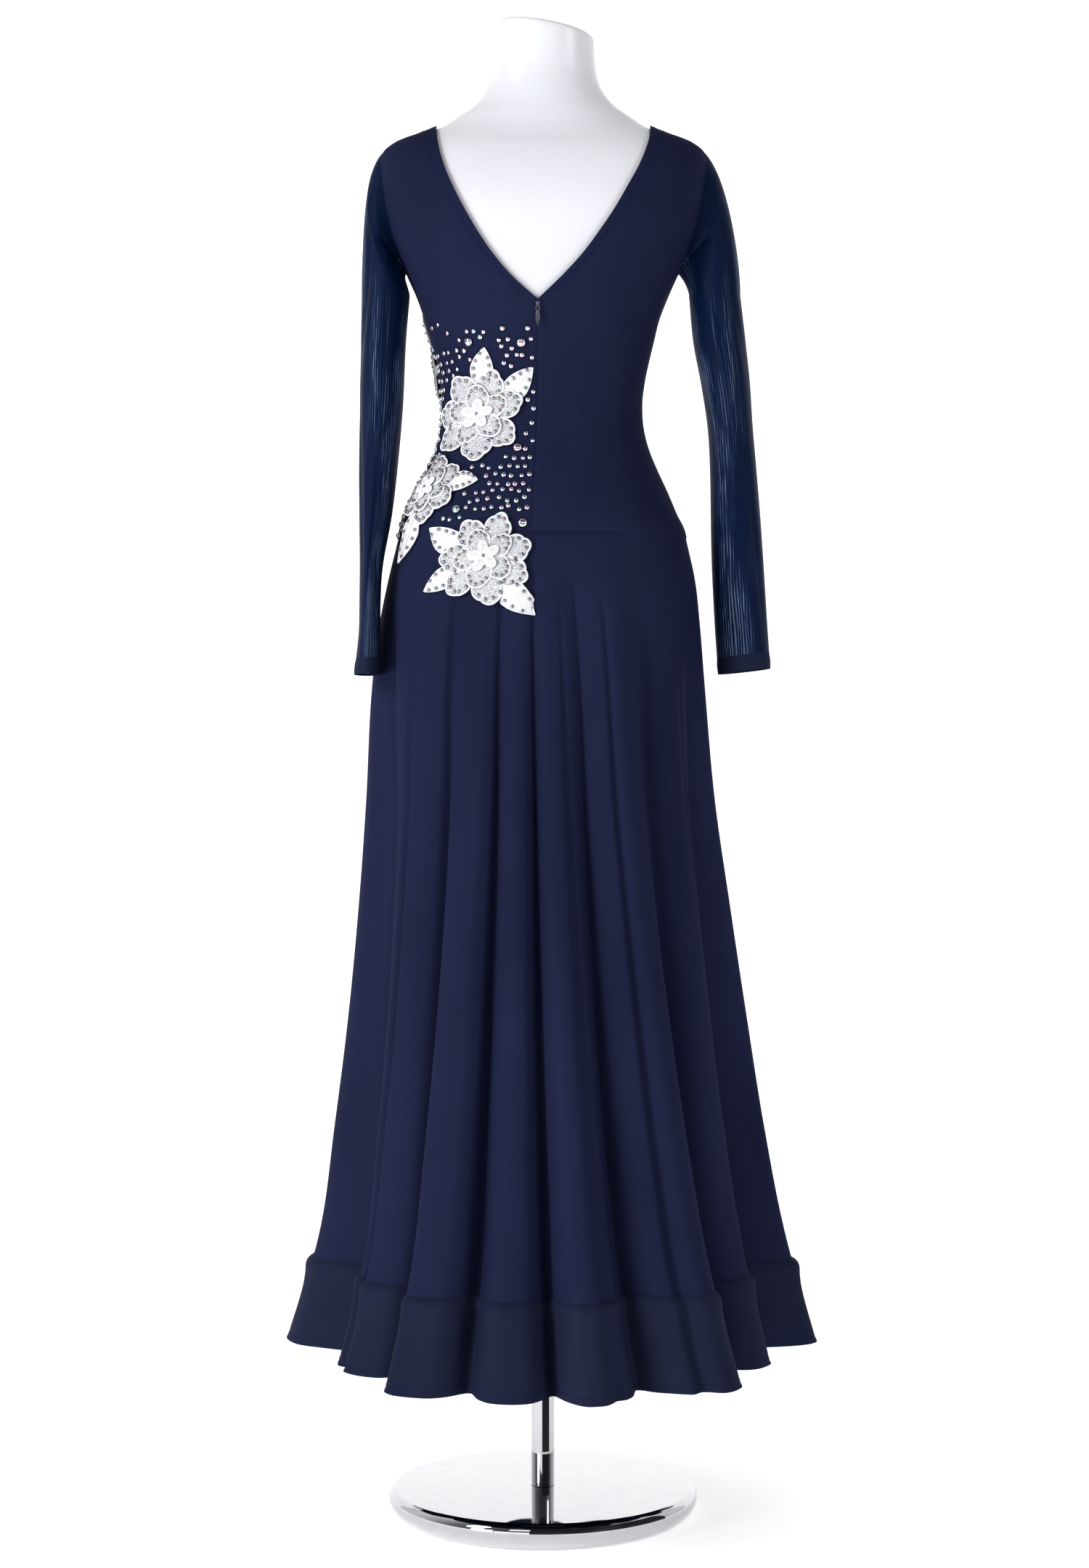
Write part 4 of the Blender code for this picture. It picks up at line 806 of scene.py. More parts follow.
def build_bodice():
    columns = 84
    halves = (("bodice_left", "bodice_back_left", -1), ("bodice_right", "bodice_back_right", 1))
    for name, node, side in halves:
        rows = bodice_rows(130, V_BOTTOM_Z)
        outer = armhole_edge(rows, ARMHOLE_BACK_HALF_ANGLE)
        seam = side * seam_deg(rows) + np.degrees(CLOSED_SEAM / 2 / BACK_SEAM_RADIUS)
        inner = np.where(rows > V_BOTTOM_Z, np.maximum(side * back_edge(rows, side), seam), seam)
        inner = np.minimum(inner, outer - STRAP_DEG)
        degs = side * (inner[:, None] + (outer - inner)[:, None] * np.linspace(0, 1, columns))
        z = np.repeat(rows[:, None], columns, 1)
        inward = (np.abs(degs) - inner[:, None]) * np.radians(1) * NECK_EDGE_RADIUS
        from_edge = np.where(z > V_BOTTOM_Z, inward, 1.0)
        if side < 0:
            degs, from_edge = degs[:, ::-1], from_edge[:, ::-1]
        lift = bodice_relief(degs, z, from_edge)
        piece, cut = sewn(name, bodice_radius, degs, z, lift, JERSEY_WALL, JERSEY, BODICE_RADIUS, node)
        [build_zip_tape()] if side < 0 else []
    build_front()


def build_zip_tape():
    """Tape of the hidden zip, behind the seam in the middle of the back."""
    z = np.linspace(HIP_SEAM_Z + 0.001, V_BOTTOM_Z - 0.004, 60)[:, None]
    degs = seam_deg(z) + np.linspace(-3.0, 3.0, 7)
    behind = -0.0016 + 0 * degs
    return sewn("zip_tape", bodice_radius, degs, z, behind, TAPE_WALL, THREAD, BODICE_RADIUS)[0]


def build_front():
    """The front, as two halves that share their middle line below the scooped neckline."""
    columns = 76
    rows = bodice_rows(120, FRONT_NECK_Z)
    outer = armhole_edge(rows, ARMHOLE_FRONT_HALF_ANGLE)
    fall = np.clip((NECK_POINT_Z - rows) / (NECK_POINT_Z - FRONT_NECK_Z), 0, 1)
    neck_x = FRONT_NECK_HALF_WIDTH * np.sqrt(1 - fall**2)
    at_neck = np.minimum(angle_at_x(neck_x, rows, front=True), outer - STRAP_DEG)
    inner = np.where(rows > FRONT_NECK_Z, at_neck, 0.0)
    away = inner[:, None] + (outer - inner)[:, None] * np.linspace(0, 1, columns)
    z = np.repeat(rows[:, None], columns, 1)
    inward = (away - inner[:, None]) * np.radians(1) * NECK_EDGE_RADIUS + np.maximum(0, FRONT_NECK_Z - z)
    from_edge = np.where(z > FRONT_NECK_Z - 0.02, inward, 1.0)
    degs = np.concatenate([180.0 - away[:, ::-1], 180.0 + away], axis=1)
    z, from_edge = np.concatenate([z, z], 1), np.concatenate([from_edge[:, ::-1], from_edge], 1)
    points = at(bodice_radius, degs, z, lift=bodice_relief(degs, z, from_edge)).reshape(-1, 3)
    across = 2 * columns
    middle = np.tile(np.arange(across - 1) == columns - 1, len(rows) - 1)
    twin = np.arange(len(points)).reshape(len(rows), across)
    joined = rows <= FRONT_NECK_Z
    twin[joined, columns] = twin[joined, columns - 1]
    quads = twin.ravel()[grid_quads(len(rows), across)[~middle]]
    used, quads = np.unique(quads, return_inverse=True)
    points, quads = points[used], quads.reshape(-1, 4)
    uv = pairs(np.radians(degs) * BODICE_RADIUS, z)[used]
    piece = cloth("bodice_front_cloth", points, quads, JERSEY_WALL, JERSEY, uv, "jersey", "bodice_front")


# Skirt

def panel_degs(span, columns, z):
    """Angles of a panel's columns at each height, from its hem angles and the folds' lean."""
    hem = np.linspace(*span, columns)[None, :]
    up = 1 - down_skirt(z)
    degs = hem - fold_lean(hem) * up
    hip_radius, widening = 0.11, 0.15
    inset = np.degrees(CLOSED_SEAM / 2 / (hip_radius + widening * (1 - up)))[:, 0]
    degs[:, 0] += inset
    degs[:, -1] -= inset
    return degs


def tucked(degs, lift, wall):
    """Adds a seam allowance: two columns that reach under the next panel."""
    last, bend, reach = degs[:, -1:], 0.04, 1.3
    under = np.full((len(degs), 2), -wall - SEAM_GAP)
    return np.concatenate([degs, last + bend, last + reach], axis=1), np.concatenate([lift, under], axis=1)


def build_skirt():
    columns, rows = 184, 78
    top, bottom = HIP_SEAM_Z - CLOSED_SEAM / 2, BAND_TOP_Z + CLOSED_SEAM
    for name, *span in SKIRT_PANELS:
        z = np.concatenate([[bottom - 0.007, bottom - 0.0006], np.linspace(bottom, top, rows),
                            [top + 0.0006, top + 0.005]])[:, None]
        under = np.concatenate([[-0.003, -0.0026], np.zeros(rows), [-0.0016, -0.0018]])[:, None]
        degs = panel_degs(span, columns, z)
        lift = under + 0.0005 * soft_line(HIP_SEAM_Z - z - 0.004, 0.003) + 0 * degs
        degs, lift = tucked(degs, lift, JERSEY_WALL)
        piece, cut = sewn("skirt_cloth_" + name, visual_garment, degs, z, lift, JERSEY_WALL, JERSEY,
                          SKIRT_RADIUS, "skirt_" + name)
        build_band(name, span, columns)


def build_band(name, span, columns):
    """Stiffened hem band: puffed along its top seam, with a turned lower edge."""
    z = np.concatenate([np.linspace(HEM_Z, HEM_Z + 0.006, 5)[:-1],
                        np.linspace(HEM_Z + 0.006, BAND_TOP_Z - 0.022, 11)[:-1],
                        np.linspace(BAND_TOP_Z - 0.022, BAND_TOP_Z, 18)])[:, None]
    degs = panel_degs(span, columns, z)
    above = z - HEM_Z + 0 * degs
    lift = 0.0008 * soft_line(above, 0.0022) - 0.0004 * soft_line(above - 0.0065, 0.0012)
    degs, lift = tucked(degs, lift, BAND_WALL)
    piece, cut = sewn("hem_band_cloth_" + name, visual_band, degs, z, lift, BAND_WALL, BAND,
                      BAND_RADIUS, "hem_band_" + name)
    return piece


# Sleeves

def sleeve_section(table, z, turn, side):
    inner, outer, middle_y, half_depth = through(table[::-1], z, 1, 2, 3, 4)
    sine, cosine = sin_cos(turn)
    x = side * ((inner + outer) / 2 + (outer - inner) / 2 * sine)
    return np.stack([x, middle_y - half_depth * cosine, z + 0 * turn], -1)


def armhole_loop(turn, side, inset):
    sine, cosine = sin_cos(turn)
    half_angle = np.where(cosine > 0, ARMHOLE_BACK_HALF_ANGLE, ARMHOLE_FRONT_HALF_ANGLE)
    degs = side * (90.0 - (half_angle - np.degrees(inset / 0.18)) * cosine)
    return at(bodice_radius, degs, ARMHOLE_MIDDLE_Z + (ARMHOLE_HALF_HEIGHT - inset) * sine)


def tube_cloth(name, grid, lift, wall, look, across, slot, node):
    """Cloth closed round, over a grid of points from the bottom up, moved out by lift; and its flat cut."""
    rows, columns = grid.shape[:2]
    quads = grid_quads(rows, columns, closed=True)
    grid = grid + point_normals(grid.reshape(-1, 3), quads).reshape(grid.shape) * lift[..., None]
    points = grid.reshape(-1, 3)
    piece = cloth(name, points, quads, wall, look, pairs(across, grid[..., 2]), slot, node)
    return piece, cut_size(points, quads, rows, columns, closed=True)


def build_sleeve(suffix, table, side, tilt):
    columns, head_rows, low_rows, cuff_rows, metres_a_degree = 88, 46, 120, 14, 0.0008
    turn = 90.0 + side * np.linspace(0, 360, columns, endpoint=False)
    head_z, wrist = table[0, 0], table[-1, 0]

    def level(z):
        points, down = sleeve_section(table, z + 0 * turn, turn, side), (head_z - z) / (head_z - wrist)
        points[:, 2] += tilt * down * (points[:, 0] - points[:, 0].mean())
        return points

    start = armhole_loop(turn, side, CLOSED_SEAM)
    end = sleeve_section(table, head_z + 0 * turn, turn, side)
    reach = np.linalg.norm(end - start, axis=-1, keepdims=True)
    leave = np.array([side * SLEEVE_HEAD_OUT, 0.0, -SLEEVE_HEAD_DOWN]) * reach / reach.max()
    arrive = np.array([0.0, 0.0, -1.0]) * reach
    rows = []
    for s in np.linspace(0, 1, head_rows, endpoint=False):
        a, b, c, d = cubic(s)
        rows.append(a * start + b * leave + c * end + d * arrive)
    rows += [level(z) for z in np.linspace(head_z, wrist + CUFF_HEIGHT + CLOSED_SEAM, low_rows)]
    down = 1 - np.linspace(0, 1, len(rows))[:, None]
    lift = np.zeros((len(rows), columns))
    for centre, middle, lean, half, height, width in SLEEVE_CREASES[suffix]:
        away = wrapped(turn[None, :] - centre - lean * (down - middle))
        lift += height * soft_line(down - middle, half) * soft_line(away, width)
    lift *= np.clip(down / 0.04, 0, 1) * np.clip((1 - down) / 0.05, 0, 1)
    across = np.abs(np.mod(turn + 90.0, 360.0) - 180.0) * metres_a_degree
    sleeve, cut = tube_cloth("sleeve_mesh_" + suffix, np.array(rows[::-1]), lift, MESH_WALL, SHEER, across,
                             "mesh", "sleeve_" + suffix)
    cuff_grid = np.array([level(z) for z in np.linspace(wrist, wrist + CUFF_HEIGHT, cuff_rows)])
    height = np.linspace(0, 1, cuff_rows)[:, None]
    puff = 0.0006 * np.sin(np.pi * height) - 0.0002 * soft_line(height - 0.86, 0.05)
    cuff, cuff_cut = tube_cloth("cuff_band_" + suffix, cuff_grid, puff, CUFF_WALL, BAND,
                                np.radians(turn) * CUFF_RADIUS, "jersey", "cuff_" + suffix)


# Lace flowers, sewn on flat pieces that follow the cloth

LACE_THICKNESS = 0.0006
FILL_SLOT, SATIN_SLOT = 0, 1


class Cloud:
    """Points, faces and material numbers gathered from many small shells into one mesh."""

    def __init__(self):
        self.points, self.quads, self.slots, self.uv, self.count = [], [], [], [], 0

    def add(self, points, quads, slot=0, uv=None):
        points = np.asarray(points, float).reshape(-1, 3)
        self.points.append(points)
        self.quads.append(np.asarray(quads) + self.count)
        self.slots.append(np.full(len(quads), slot))
        self.uv.append(np.zeros((len(points), 2)) if uv is None else uv)
        self.count += len(points)

    def mesh(self, name, materials, smooth=True, sharp=None):
        return add_mesh(name, np.concatenate(self.points), np.concatenate(self.quads), materials,
                        np.concatenate(self.uv), np.concatenate(self.slots), smooth, sharp)


def add_tube(cloud, path, normals, radius, sides=6, closed=False, slot=0):
    """Round cord along a path; its ends are closed by narrowing them."""
    path, normals = np.asarray(path, float), np.asarray(normals, float)
    ahead = np.roll(path, -1, 0) - np.roll(path, 1, 0)
    if not closed:
        ahead[0], ahead[-1] = path[1] - path[0], path[-1] - path[-2]
    ahead /= np.linalg.norm(ahead, axis=1, keepdims=True)
    side = np.cross(ahead, normals)
    side /= np.linalg.norm(side, axis=1, keepdims=True)
    up = np.cross(side, ahead)
    turns = np.linspace(0, 2 * np.pi, sides, endpoint=False)[None, :, None]
    rings = path[:, None] + radius * (np.cos(turns) * side[:, None] + np.sin(turns) * up[:, None])
    count = len(path)
    if closed:
        quads = grid_quads(count + 1, sides, closed=True)
        cloud.add(rings, np.where(quads >= count * sides, quads - count * sides, quads)[:, ::-1], slot)
        return
    ends = []
    for i, away in ((0, -1), (-1, 1)):
        ends.append((path[i] + (rings[i] - path[i]) * 0.05 + away * ahead[i] * radius * 0.8)[None])
    cloud.add(np.concatenate([ends[0], rings, ends[1]]), capped_quads(count + 2, sides)[:, ::-1], slot)


def laid(flower, turn, along, across, lift):
    """Points on the cloth along and across a direction from the flower's centre, and the cloth's normals."""
    sine, cosine = sin_cos(turn)
    radius = float(garment_radius(flower.deg, flower.z))
    deg = flower.deg + np.degrees((along * cosine - across * sine) / radius)
    return surface(visual_garment, deg, flower.z + along * sine + across * cosine, lift=flower.off + lift)


def add_shell(cloud, top, normals, quads, slot, uv):
    """Closed thin shell under a grid of points, turned to face along the normals."""
    points, normals, uv = top.reshape(-1, 3), normals.reshape(-1, 3), uv.reshape(-1, 2)
    if (quad_areas(points, quads) * normals[quads[:, 0]]).sum() < 0:
        quads = quads[:, ::-1]
    under = points - normals * LACE_THICKNESS
    cloud.add(np.concatenate([points, under]), wall_quads(quads, len(points)), slot, np.concatenate([uv, uv]))


def add_cord(cloud, flower, turn, along, across, lift, radius, closed=False):
    path, normals = laid(flower, turn, along, across, lift + 0 * along)
    add_tube(cloud, path, normals, radius, closed=closed, slot=SATIN_SLOT)


def add_round_petal(cloud, flower, turn, centre, half_length, half_width, lift, dome, lobes, cord,
                    slot=FILL_SLOT):
    """Domed petal with a scalloped, corded edge and ribs that spread from its middle."""
    rings = np.array([0.04, 0.18, 0.34, 0.5, 0.64, 0.77, 0.88, 0.96, 1.0])[:, None]
    spokes = 40
    turns = np.linspace(0, 2 * np.pi, spokes, endpoint=False)[None, :]
    scallop = 1 - 0.13 * (1 - np.abs(np.cos(lobes * turns / 2)))
    along = centre + half_length * scallop * rings * np.cos(turns)
    across = half_width * scallop * rings * np.sin(turns)
    ribs = 0.0005 * np.cos(10 * turns) * rings * (1 - rings) * 4
    rise = lift + (dome * (1 - rings**2) + ribs + 0.0006 * rings**8)
    points, normals = laid(flower, turn, along, across, rise)
    quads = np.concatenate([grid_quads(len(rings), spokes, closed=True), end_quads(spokes, 0)])[:, ::-1]
    add_shell(cloud, points, normals, quads, slot, np.stack([across, along], -1))
    add_cord(cloud, flower, turn, along[-1], across[-1], lift + 0.0008, cord, closed=True)
    return along[5], across[5]


def leaf_width(share):
    return np.where(share < 0.45, np.sin(np.pi / 2 * share / 0.45) ** 0.7,
                    np.cos(np.pi / 2 * np.clip((share - 0.45) / 0.55, 0, 1)) ** 0.9)


def add_leaf(cloud, flower, turn, start, reach, half_width, curve):
    """Pointed leaf in satin stitch, with a vein down its middle and a corded edge."""
    rows, columns, lift = 30, 17, 0.0006

    def spine(share):
        return start + (reach - start) * share, curve * np.sin(np.pi * share)

    def both_sides(bend, wide):
        return np.concatenate([bend - wide, (bend + wide)[::-1][1:]])

    share, side = np.linspace(0, 1, rows)[:, None], np.linspace(-1, 1, columns)[None, :]
    width = np.maximum(half_width * leaf_width(share), 0.0004)
    along, bend = spine(share)
    along = along + 0 * side
    dome = 0.0016 * (1 - side**2) * np.sin(np.pi * np.clip(share, 0.02, 0.98)) ** 0.6
    rise = lift + dome - 0.0009 * soft_line(side, 0.1)
    points, normals = laid(flower, turn, along, side * width + bend, rise)
    add_shell(cloud, points, normals, grid_quads(rows, columns), SATIN_SLOT, pairs(side * width, along))
    edge, vein = np.linspace(0.1, 1.0, 22), np.linspace(0.12, 0.92, 14)
    run, bend = spine(edge)
    run = np.concatenate([run, run[::-1][1:]])
    wide = np.maximum(half_width * leaf_width(edge), 0.0003)
    add_cord(cloud, flower, turn, run, both_sides(bend, wide), lift + 0.0006, 0.0008)
    add_cord(cloud, flower, turn, *spine(vein), lift + 0.0014, 0.0005)
    return run, both_sides(bend, wide * 0.72)


def gem_mesh(name, feet, normals, diameters, sides, material=CRYSTAL):
    """Cut stones: a flat back, a girdle, a crown of slanting facets and a flat table."""
    cloud, rng = Cloud(), random.Random(name)
    turns = np.linspace(0, 2 * np.pi, sides, endpoint=False)
    quads = capped_quads(4, sides)
    for foot, normal, diameter in zip(feet, normals, diameters):
        across = np.cross(normal, (0.0, 0.0, 1.0))
        across /= np.linalg.norm(across)
        other = np.cross(normal, across)
        spin, rings = rng.uniform(0, 6), []
        for share, height, shift in ((0.84, 0.0, 0.0), (1.0, 0.1, 0.0), (0.8, 0.24, 0.5), (0.52, 0.34, 0.0)):
            angle = (turns + spin + shift * np.pi / sides)[:, None]
            reach = diameter / 2 * share * (np.cos(angle) * across + np.sin(angle) * other)
            rings.append(foot + normal * diameter * height + reach)
        cloud.add(np.concatenate(rings), quads)
    return ride(cloud.mesh(name, [material], smooth=False), MAIN, "crystal")


def build_flower(flower):
    rng = random.Random("lace " + flower.name)
    lace, gems = Cloud(), []
    radius, step = flower.radius, 360.0 / flower.petals
    for turn, reach, _ in flower.leaves:
        curve = rng.choice((-1, 1)) * 0.003
        run, side = add_leaf(lace, flower, turn, radius * 0.5, reach, reach * 0.165, curve)
        gems += [(turn, run[i], side[i], 0.0026, 0.0045) for i in range(4, len(run) - 3, 4)
                 if abs(i - 21) > 2]
    for k in range(flower.petals):
        turn = flower.turn + k * step + rng.uniform(-4, 4)
        length = radius * rng.uniform(0.36, 0.41)
        width = 0.64 * radius * math.sin(math.radians(step / 2)) * 1.08
        lift = 0.0012 + 0.0012 * (k % 2)
        along, across = add_round_petal(lace, flower, turn, radius * 0.985 - length, length, width, lift,
                                        dome=0.0022, lobes=5, cord=0.0011)
        gems += [(turn, along[i], across[i], lift + 0.0018, 0.0046) for i in range(-10, 12, 4)]
    for k in range(5):
        turn = flower.turn + 20.0 + k * 72.0 + rng.uniform(-5, 5)
        lift = 0.0042 + 0.0008 * (k % 2)
        along, across = add_round_petal(lace, flower, turn, radius * 0.37, radius * 0.27, radius * 0.24, lift,
                                        dome=0.0026, lobes=3, cord=0.001)
        gems += [(turn, along[i], across[i], lift + 0.002, 0.0043) for i in range(-8, 9, 4)]
    for k in range(5):
        turn = flower.turn + 72.0 * k + 11.0
        add_round_petal(lace, flower, turn, radius * 0.17, radius * 0.15, radius * 0.1, lift=0.0082,
                        dome=0.0018, lobes=1, cord=0.0006, slot=SATIN_SLOT)
    gems.append((0.0, 0.0, 0.0, 0.0096, 0.0042))
    piece = lace.mesh("lace_flower_" + flower.name, [FILL, SATIN], sharp=70)
    ride(piece, MAIN, "lace", "flower_" + flower.name)
    turn, along, across, lift, diameter = np.array(gems).T
    places = laid(flower, turn, along, across, lift)
    gem_mesh("lace_stones_" + flower.name, *places, diameter, sides=8, material=CRYSTAL_PAINTED_DARK_ON_LACE)


# Stones on the cloth

def covered_by_flower(deg, z, margin):
    for flower in FLOWERS:
        radius = float(garment_radius(flower.deg, flower.z))
        right, up = math.radians(deg - flower.deg) * radius, z - flower.z
        distance, turn = math.hypot(right, up), math.degrees(math.atan2(up, right))
        if distance < flower.radius + margin:
            return True
        for leaf_turn, reach, _ in flower.leaves:
            away = min(abs(wrapped(turn - leaf_turn)), 90.0)
            beside = distance * math.sin(math.radians(away))
            if distance < reach + margin and beside < reach * 0.13 + margin:
                return True
    return False


def build_stones():
    feet, normals = surface(visual_garment, LARGE_STONES[:, 0], LARGE_STONES[:, 1], lift=STONE_LIFT)
    for i, diameter in enumerate(LARGE_STONES[:, 2]):
        node = "stone_%d" % (i + 1)
        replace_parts(gem_mesh("large_" + node, feet[i:i + 1], normals[i:i + 1], [diameter], sides=12), node)
    rng, placed = random.Random(11), []
    for row in range(STONE_ROWS):
        z = FIRST_STONE_Z + row * STONE_PITCH * 0.87
        radius = float(garment_radius(-50.0, z))
        step = math.degrees(STONE_PITCH / radius)
        for k in range(STONES_IN_ROW):
            deg = FIRST_STONE_DEG - (k + 0.5 * (row % 2)) * step + rng.uniform(-0.2, 0.2) * step
            up = z + rng.uniform(-0.0024, 0.0024)
            at_top, at_front = (up - 1.335) / 0.032, (-deg - 104.0 + 120.0 * (1.25 - up)) / 22.0
            thinned = rng.random() < 0.85 * np.clip(max(at_top, at_front), 0.0, 1.0)
            if deg < LAST_STONE_DEG or up > TOP_STONE_Z or thinned:
                continue
            near_large = any(math.hypot(math.radians(deg - stone[0]) * radius, up - stone[1]) < 0.01
                             for stone in LARGE_STONES)
            if not near_large and not covered_by_flower(deg, up, 0.004):
                placed.append((deg, up, rng.choice(SMALL_STONE_DIAMETERS)))
    deg, z, diameter = np.array(placed).T
    gem_mesh("small_stones", *surface(visual_garment, deg, z, lift=STONE_LIFT), diameter, sides=8)


# Stitching, zip and pull tab

def dashes(name, paths, pitch, length, radius):
    """Stitches along paths of points with their outward normals."""
    cloud = Cloud()
    for path, normals in paths:
        run = np.concatenate([[0], np.cumsum(np.linalg.norm(np.diff(path, axis=0), axis=1))])
        for start in np.arange(pitch / 2, run[-1] - length, pitch):
            where = start + np.linspace(0, length, 4)
            spine, normal = (np.stack([np.interp(where, run, rows[:, c]) for c in range(3)], -1)
                             for rows in (path, normals))
            normal /= np.linalg.norm(normal, axis=1, keepdims=True)
            arch = np.array([0.1, 1.0, 1.0, 0.1])[:, None] * radius * 0.6
            add_tube(cloud, spine + normal * arch, normal, radius, sides=4)
    ride(cloud.mesh(name, [THREAD]), MAIN, "jersey")


def build_stitching():
    paths, last_deg, z = [], 79, np.linspace(V_BOTTOM_Z + 0.006, NECK_POINT_Z - 0.002, 160)
    for side in (-1, 1):
        edge = back_edge(z, side)
        edge = np.where(side * edge > side * seam_deg(z), edge, seam_deg(z))
        for inward in (0.0052, 0.0074):
            slope = np.gradient(np.radians(edge) * NECK_STITCH_RADIUS, z)
            deg = edge + side * np.degrees(inward * np.sqrt(1 + slope**2) / NECK_STITCH_RADIUS)
            kept = side * deg < last_deg
            paths.append(surface(bodice_radius, deg[kept], z[kept], lift=0.0006))
    dashes("neck_coverstitch", paths, pitch=0.0034, length=0.0023, radius=0.00028)
    hem = [surface(visual_band, np.linspace(first + 0.3, last - 0.3, 260), HEM_Z + 0.0065, lift=0.0002)
           for _, first, last in SKIRT_PANELS]
    dashes("hem_stitch", hem, pitch=0.0046, length=0.003, radius=0.0003)


PULL_AXIS = Vector((-0.00554, -0.10154, 1.3815))
SLIDER_SIZE = (0.0046, 0.0022, 0.008)
PULL_WIRE_RADIUS = 0.0005


def build_zip():
    foot_y = PULL_AXIS.y + 0.0034
    place = Vector((PULL_AXIS.x, foot_y - SLIDER_SIZE[1] / 2, PULL_AXIS.z))
    bm = bmesh.new()
    for vertex in bmesh.ops.create_cube(bm, size=1.0)["verts"]:
        vertex.co = Vector([c * size for c, size in zip(vertex.co, SLIDER_SIZE)]) + place
    bmesh.ops.bevel(bm, geom=bm.edges[:], offset=0.0008, segments=4, profile=0.5, affect="EDGES")
    ride(from_bmesh("slider_body", bm, GUNMETAL), MAIN, "zip_metal", "zip_slider")
    bridge, deep, high = Cloud(), 0.00165, 0.00165 * 1.25
    path = [(0, 0.001, high)]
    path += [(0, -deep * math.sin(t), high * math.cos(t)) for t in np.linspace(0, np.pi, 25)]
    path += [(0, 0.001, -high)]
    path = [tuple(PULL_AXIS + Vector(p)) for p in path]
    add_tube(bridge, path, np.tile((1.0, 0.0, 0.0), (len(path), 1)), radius=0.00048, sides=10)
    ride(bridge.mesh("slider_bridge", [GUNMETAL]), MAIN, "zip_metal")
    teeth = Cloud()
    for k in range(7):
        z = place.z - SLIDER_SIZE[2] / 2 - 0.0009 - k * 0.0011
        for side in (-1, 1):
            x, y = place.x + side * 0.0007, foot_y - 0.0002
            tooth = [(x - 0.0005, y, z), (x, y - 0.0004, z), (x + 0.0005, y, z)]
            add_tube(teeth, tooth, [(0, -1, 0)] * 3, radius=0.0003)
    ride(teeth.mesh("zip_chain", [GUNMETAL]), MAIN, "zip_metal")


def build_pull():
    half, drop = 0.0023, 0.0066
    corners = [(half * 0.62, 0.0), (half, -drop * 0.75), (half * 0.7, -drop), (-half * 0.7, -drop),
               (-half, -drop * 0.75), (-half * 0.62, 0.0)]
    path = []
    for (x, z), (next_x, next_z) in zip(corners, corners[1:] + corners[:1]):
        path += [(x + (next_x - x) * s, 0.0, z + (next_z - z) * s)
                 for s in np.linspace(0, 1, 8, endpoint=False)]
    path = np.array(path)
    for _ in range(3):
        path = (np.roll(path, 1, 0) + 2 * path + np.roll(path, -1, 0)) / 4
    cloud, axis = Cloud(), np.array(PULL_AXIS)
    add_tube(cloud, path + axis, np.tile((0.0, -1.0, 0.0), (len(path), 1)), PULL_WIRE_RADIUS, sides=10,
             closed=True)
    top, length, wide = 0.006, 0.0236, 0.0022
    rows, columns = 40, 24
    turns = np.linspace(0, 2 * np.pi, columns, endpoint=False)
    sine, cosine = np.sin(turns), np.cos(turns)
    rings = []
    for share in np.linspace(0, 1, rows):
        width = wide * max(math.sin(math.pi * min(share, 0.999) ** 0.8), 0.0) ** 0.75 + 0.0003
        depth = 0.00042 * (1 - 0.6 * abs(2 * share - 1) ** 6)
        x = np.sign(sine) * np.abs(sine) ** 0.8 * width
        y = -np.sign(cosine) * np.abs(cosine) ** 0.6 * depth
        rings.append(np.stack([x, y, np.full(columns, -top - (length - top) * share)], -1) + axis)
    cloud.add(np.array(rings[::-1]), capped_quads(rows, columns))
    ride(cloud.mesh("pull_tab", [GUNMETAL], sharp=50), PULL, "zip_metal", "zip_pull")


# Studio

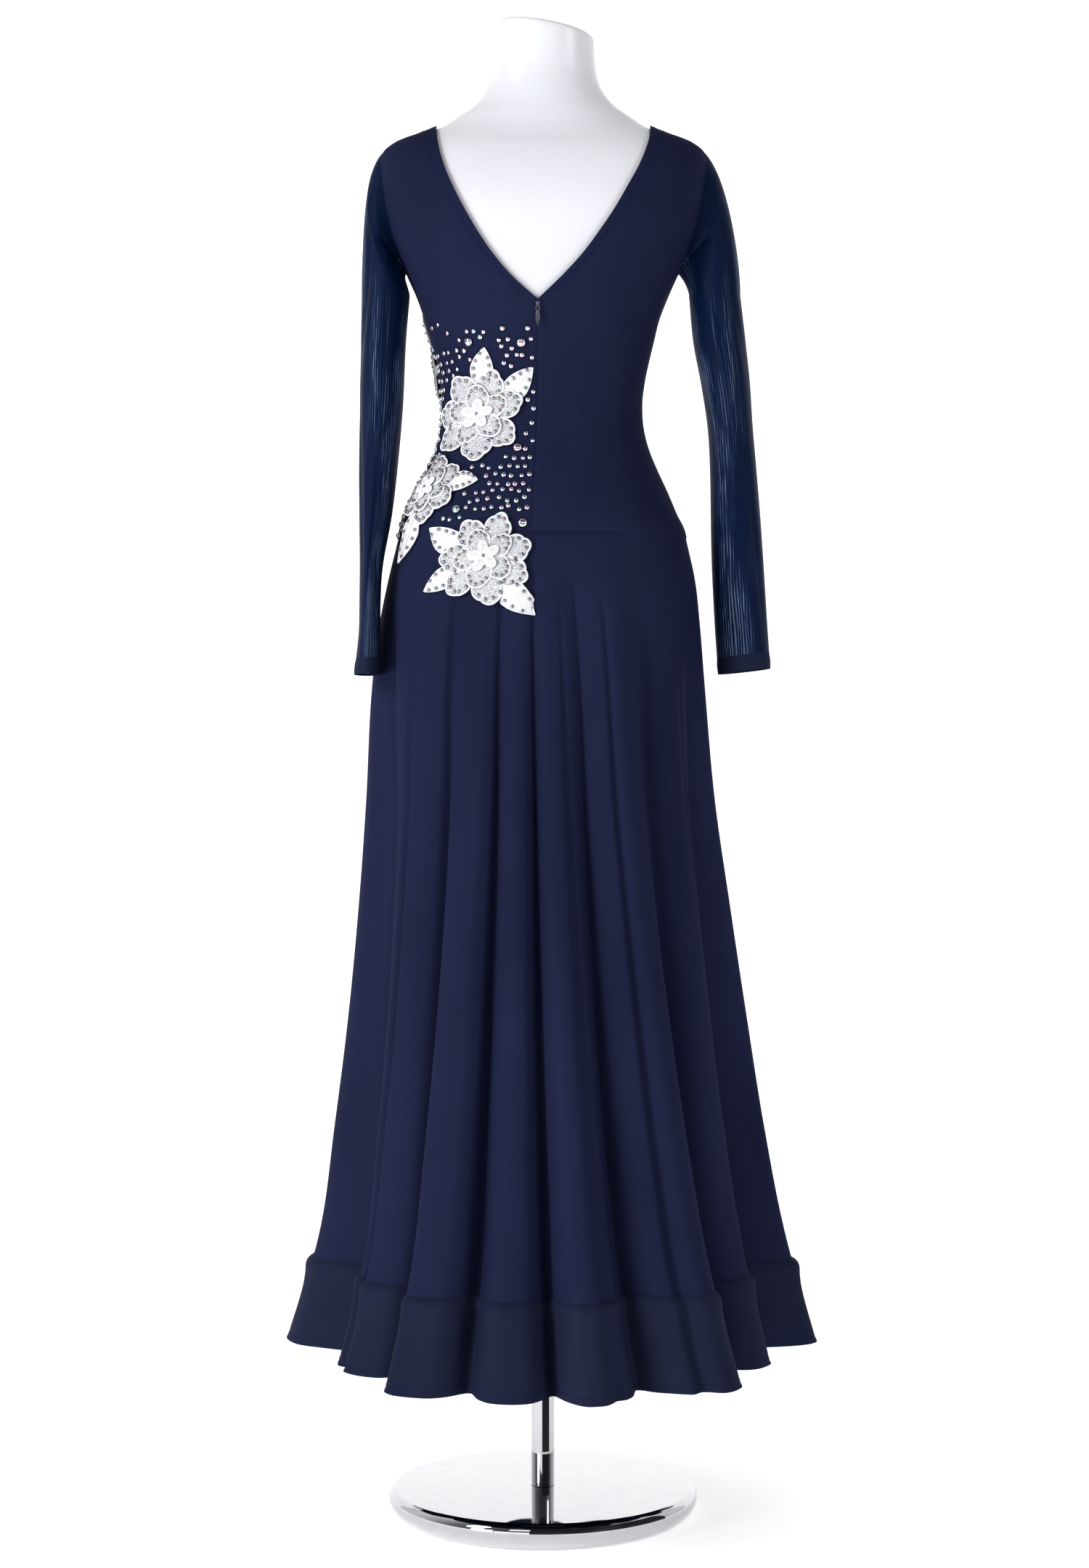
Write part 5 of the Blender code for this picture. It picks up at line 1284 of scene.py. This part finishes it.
def build_studio():
    white = (1.0, 1.0, 1.0, 1.0)
    paper = principled("studio_paper", (0.86, 0.86, 0.87), 0.9, Specular_IOR_Level=0.1,
                       Emission_Color=white, Emission_Strength=0.48).owner
    wall = principled("studio_wall", (0.3, 0.3, 0.31), 0.9, Specular_IOR_Level=0.0,
                      Emission_Color=white, Emission_Strength=1.15).owner
    half, flat_to, bend = 11.0, 7.0, 2.0
    profile = [(-9.0, 0.0), (2.2, 0.0), (flat_to, 0.0)]
    turns = np.linspace(0, np.pi / 2, 16)[1:]
    profile += [(flat_to + bend * math.sin(t), bend - bend * math.cos(t)) for t in turns]
    profile += [(flat_to + bend, 8.0)]
    points = np.array([(x, y, z) for y, z in profile for x in (-half, half)])
    quads = np.array([(2 * i, 2 * i + 1, 2 * i + 3, 2 * i + 2) for i in range(len(profile) - 1)])
    slots = [0] + [1] * (len(quads) - 1)
    add_mesh("studio_backdrop", points, quads, [paper, wall], slots=slots)
    glow = principled("studio_reflector", (0.8, 0.8, 0.8), 0.9, Emission_Color=white,
                      Emission_Strength=0.7).owner
    cards = (
        # name, x and z of two corners: what the chrome and the stones mirror, out of the picture
        ("reflector_left", (-3.2, -0.05), (0.0, 0.95)),
        ("reflector_high", (-2.2, 2.2), (2.2, 4.0)),
    )
    for name, sides, heights in cards:
        points = np.array([(x, -4.6, z) for z in heights for x in sides])
        card = add_mesh(name, points, grid_quads(2, 2), [glow])
        card.visible_camera = False
    build_flag()
    build_world()
    lights = (
        # name, place, aims at, width, height, power
        ("key", (-3.0, -2.3, 2.6), (0.0, 0.0, 0.9), 0.9, 1.8, 112.0),
        ("fill", (3.1, -2.3, 2.3), (0.0, 0.0, 0.8), 0.9, 2.0, 34.0),
        ("low_left", (-2.0, -2.1, 0.4), (0.0, 0.0, 0.4), 0.8, 0.6, 34.0),
        ("low_right", (2.0, -2.1, 0.4), (0.0, 0.0, 0.4), 0.8, 0.6, 12.0),
    )
    for name, place, aim, width, height, power in lights:
        lamp = bpy.data.lights.new(name, "AREA")
        lamp.shape = "RECTANGLE"
        lamp.size, lamp.size_y, lamp.energy = width, height, power
        made = linked(name, lamp)
        made.location = place
        made.rotation_mode = "QUATERNION"
        made.rotation_quaternion = (Vector(aim) - Vector(place)).to_track_quat("-Z", "Y")
    bpy.context.scene.view_settings.view_transform = "Standard"


def build_flag():
    """Dark curved card that only the chrome mirrors: it draws the dark core of the pole."""
    dark = principled("studio_flag", (0.02, 0.02, 0.025), 0.8).owner
    radius, low, high = 0.24, 0.016, 0.11
    sine, cosine = sin_cos(np.linspace(-6.0, 66.0, 12))
    x, y = radius * sine, -radius * cosine
    points = np.concatenate([np.column_stack([x, y, z + 0 * sine]) for z in (low, high)])
    card = add_mesh("studio_flag", points, grid_quads(2, len(sine)), [dark])
    card.visible_camera = card.visible_diffuse = card.visible_shadow = False


def build_world():
    """White studio, darker on the side of the camera so that chrome, stones and folds have contrast."""
    world = bpy.data.worlds.new("studio_world")
    bpy.context.scene.world = world
    sky = Look(world, "Background")
    direction = sky.tree.nodes.new("ShaderNodeTexCoord").outputs["Generated"]
    across = sky.scaled(sky.add("SeparateXYZ", "Y", Vector=direction), 0.0, 1.0, -0.9, 0.3)
    stops = ((0.0, (0.06, 0.06, 0.07)), (0.5, (0.2, 0.2, 0.22)), (1.0, (0.85, 0.85, 0.85)))
    sky.feed(Color=sky.ramp(across, *stops))


def build_camera():
    lens = bpy.data.cameras.new("photo_camera")
    lens.lens, lens.sensor_width = 62.93, 36.0
    made = linked("photo_camera", lens)
    made.location = (0.002, -3.178, 0.843)
    made.rotation_euler = (math.radians(90.0), 0.0, 0.0)
    bpy.context.scene.camera = made


build_form()
build_stand()
build_bodice()
build_skirt()
build_sleeve("left", LEFT_SLEEVE, -1, 0.0)
build_sleeve("right", RIGHT_SLEEVE, 1, RIGHT_CUFF_TILT)
for flower in FLOWERS:
    build_flower(flower)
build_stones()
build_stitching()
build_zip()
build_pull()
build_studio()
build_camera()
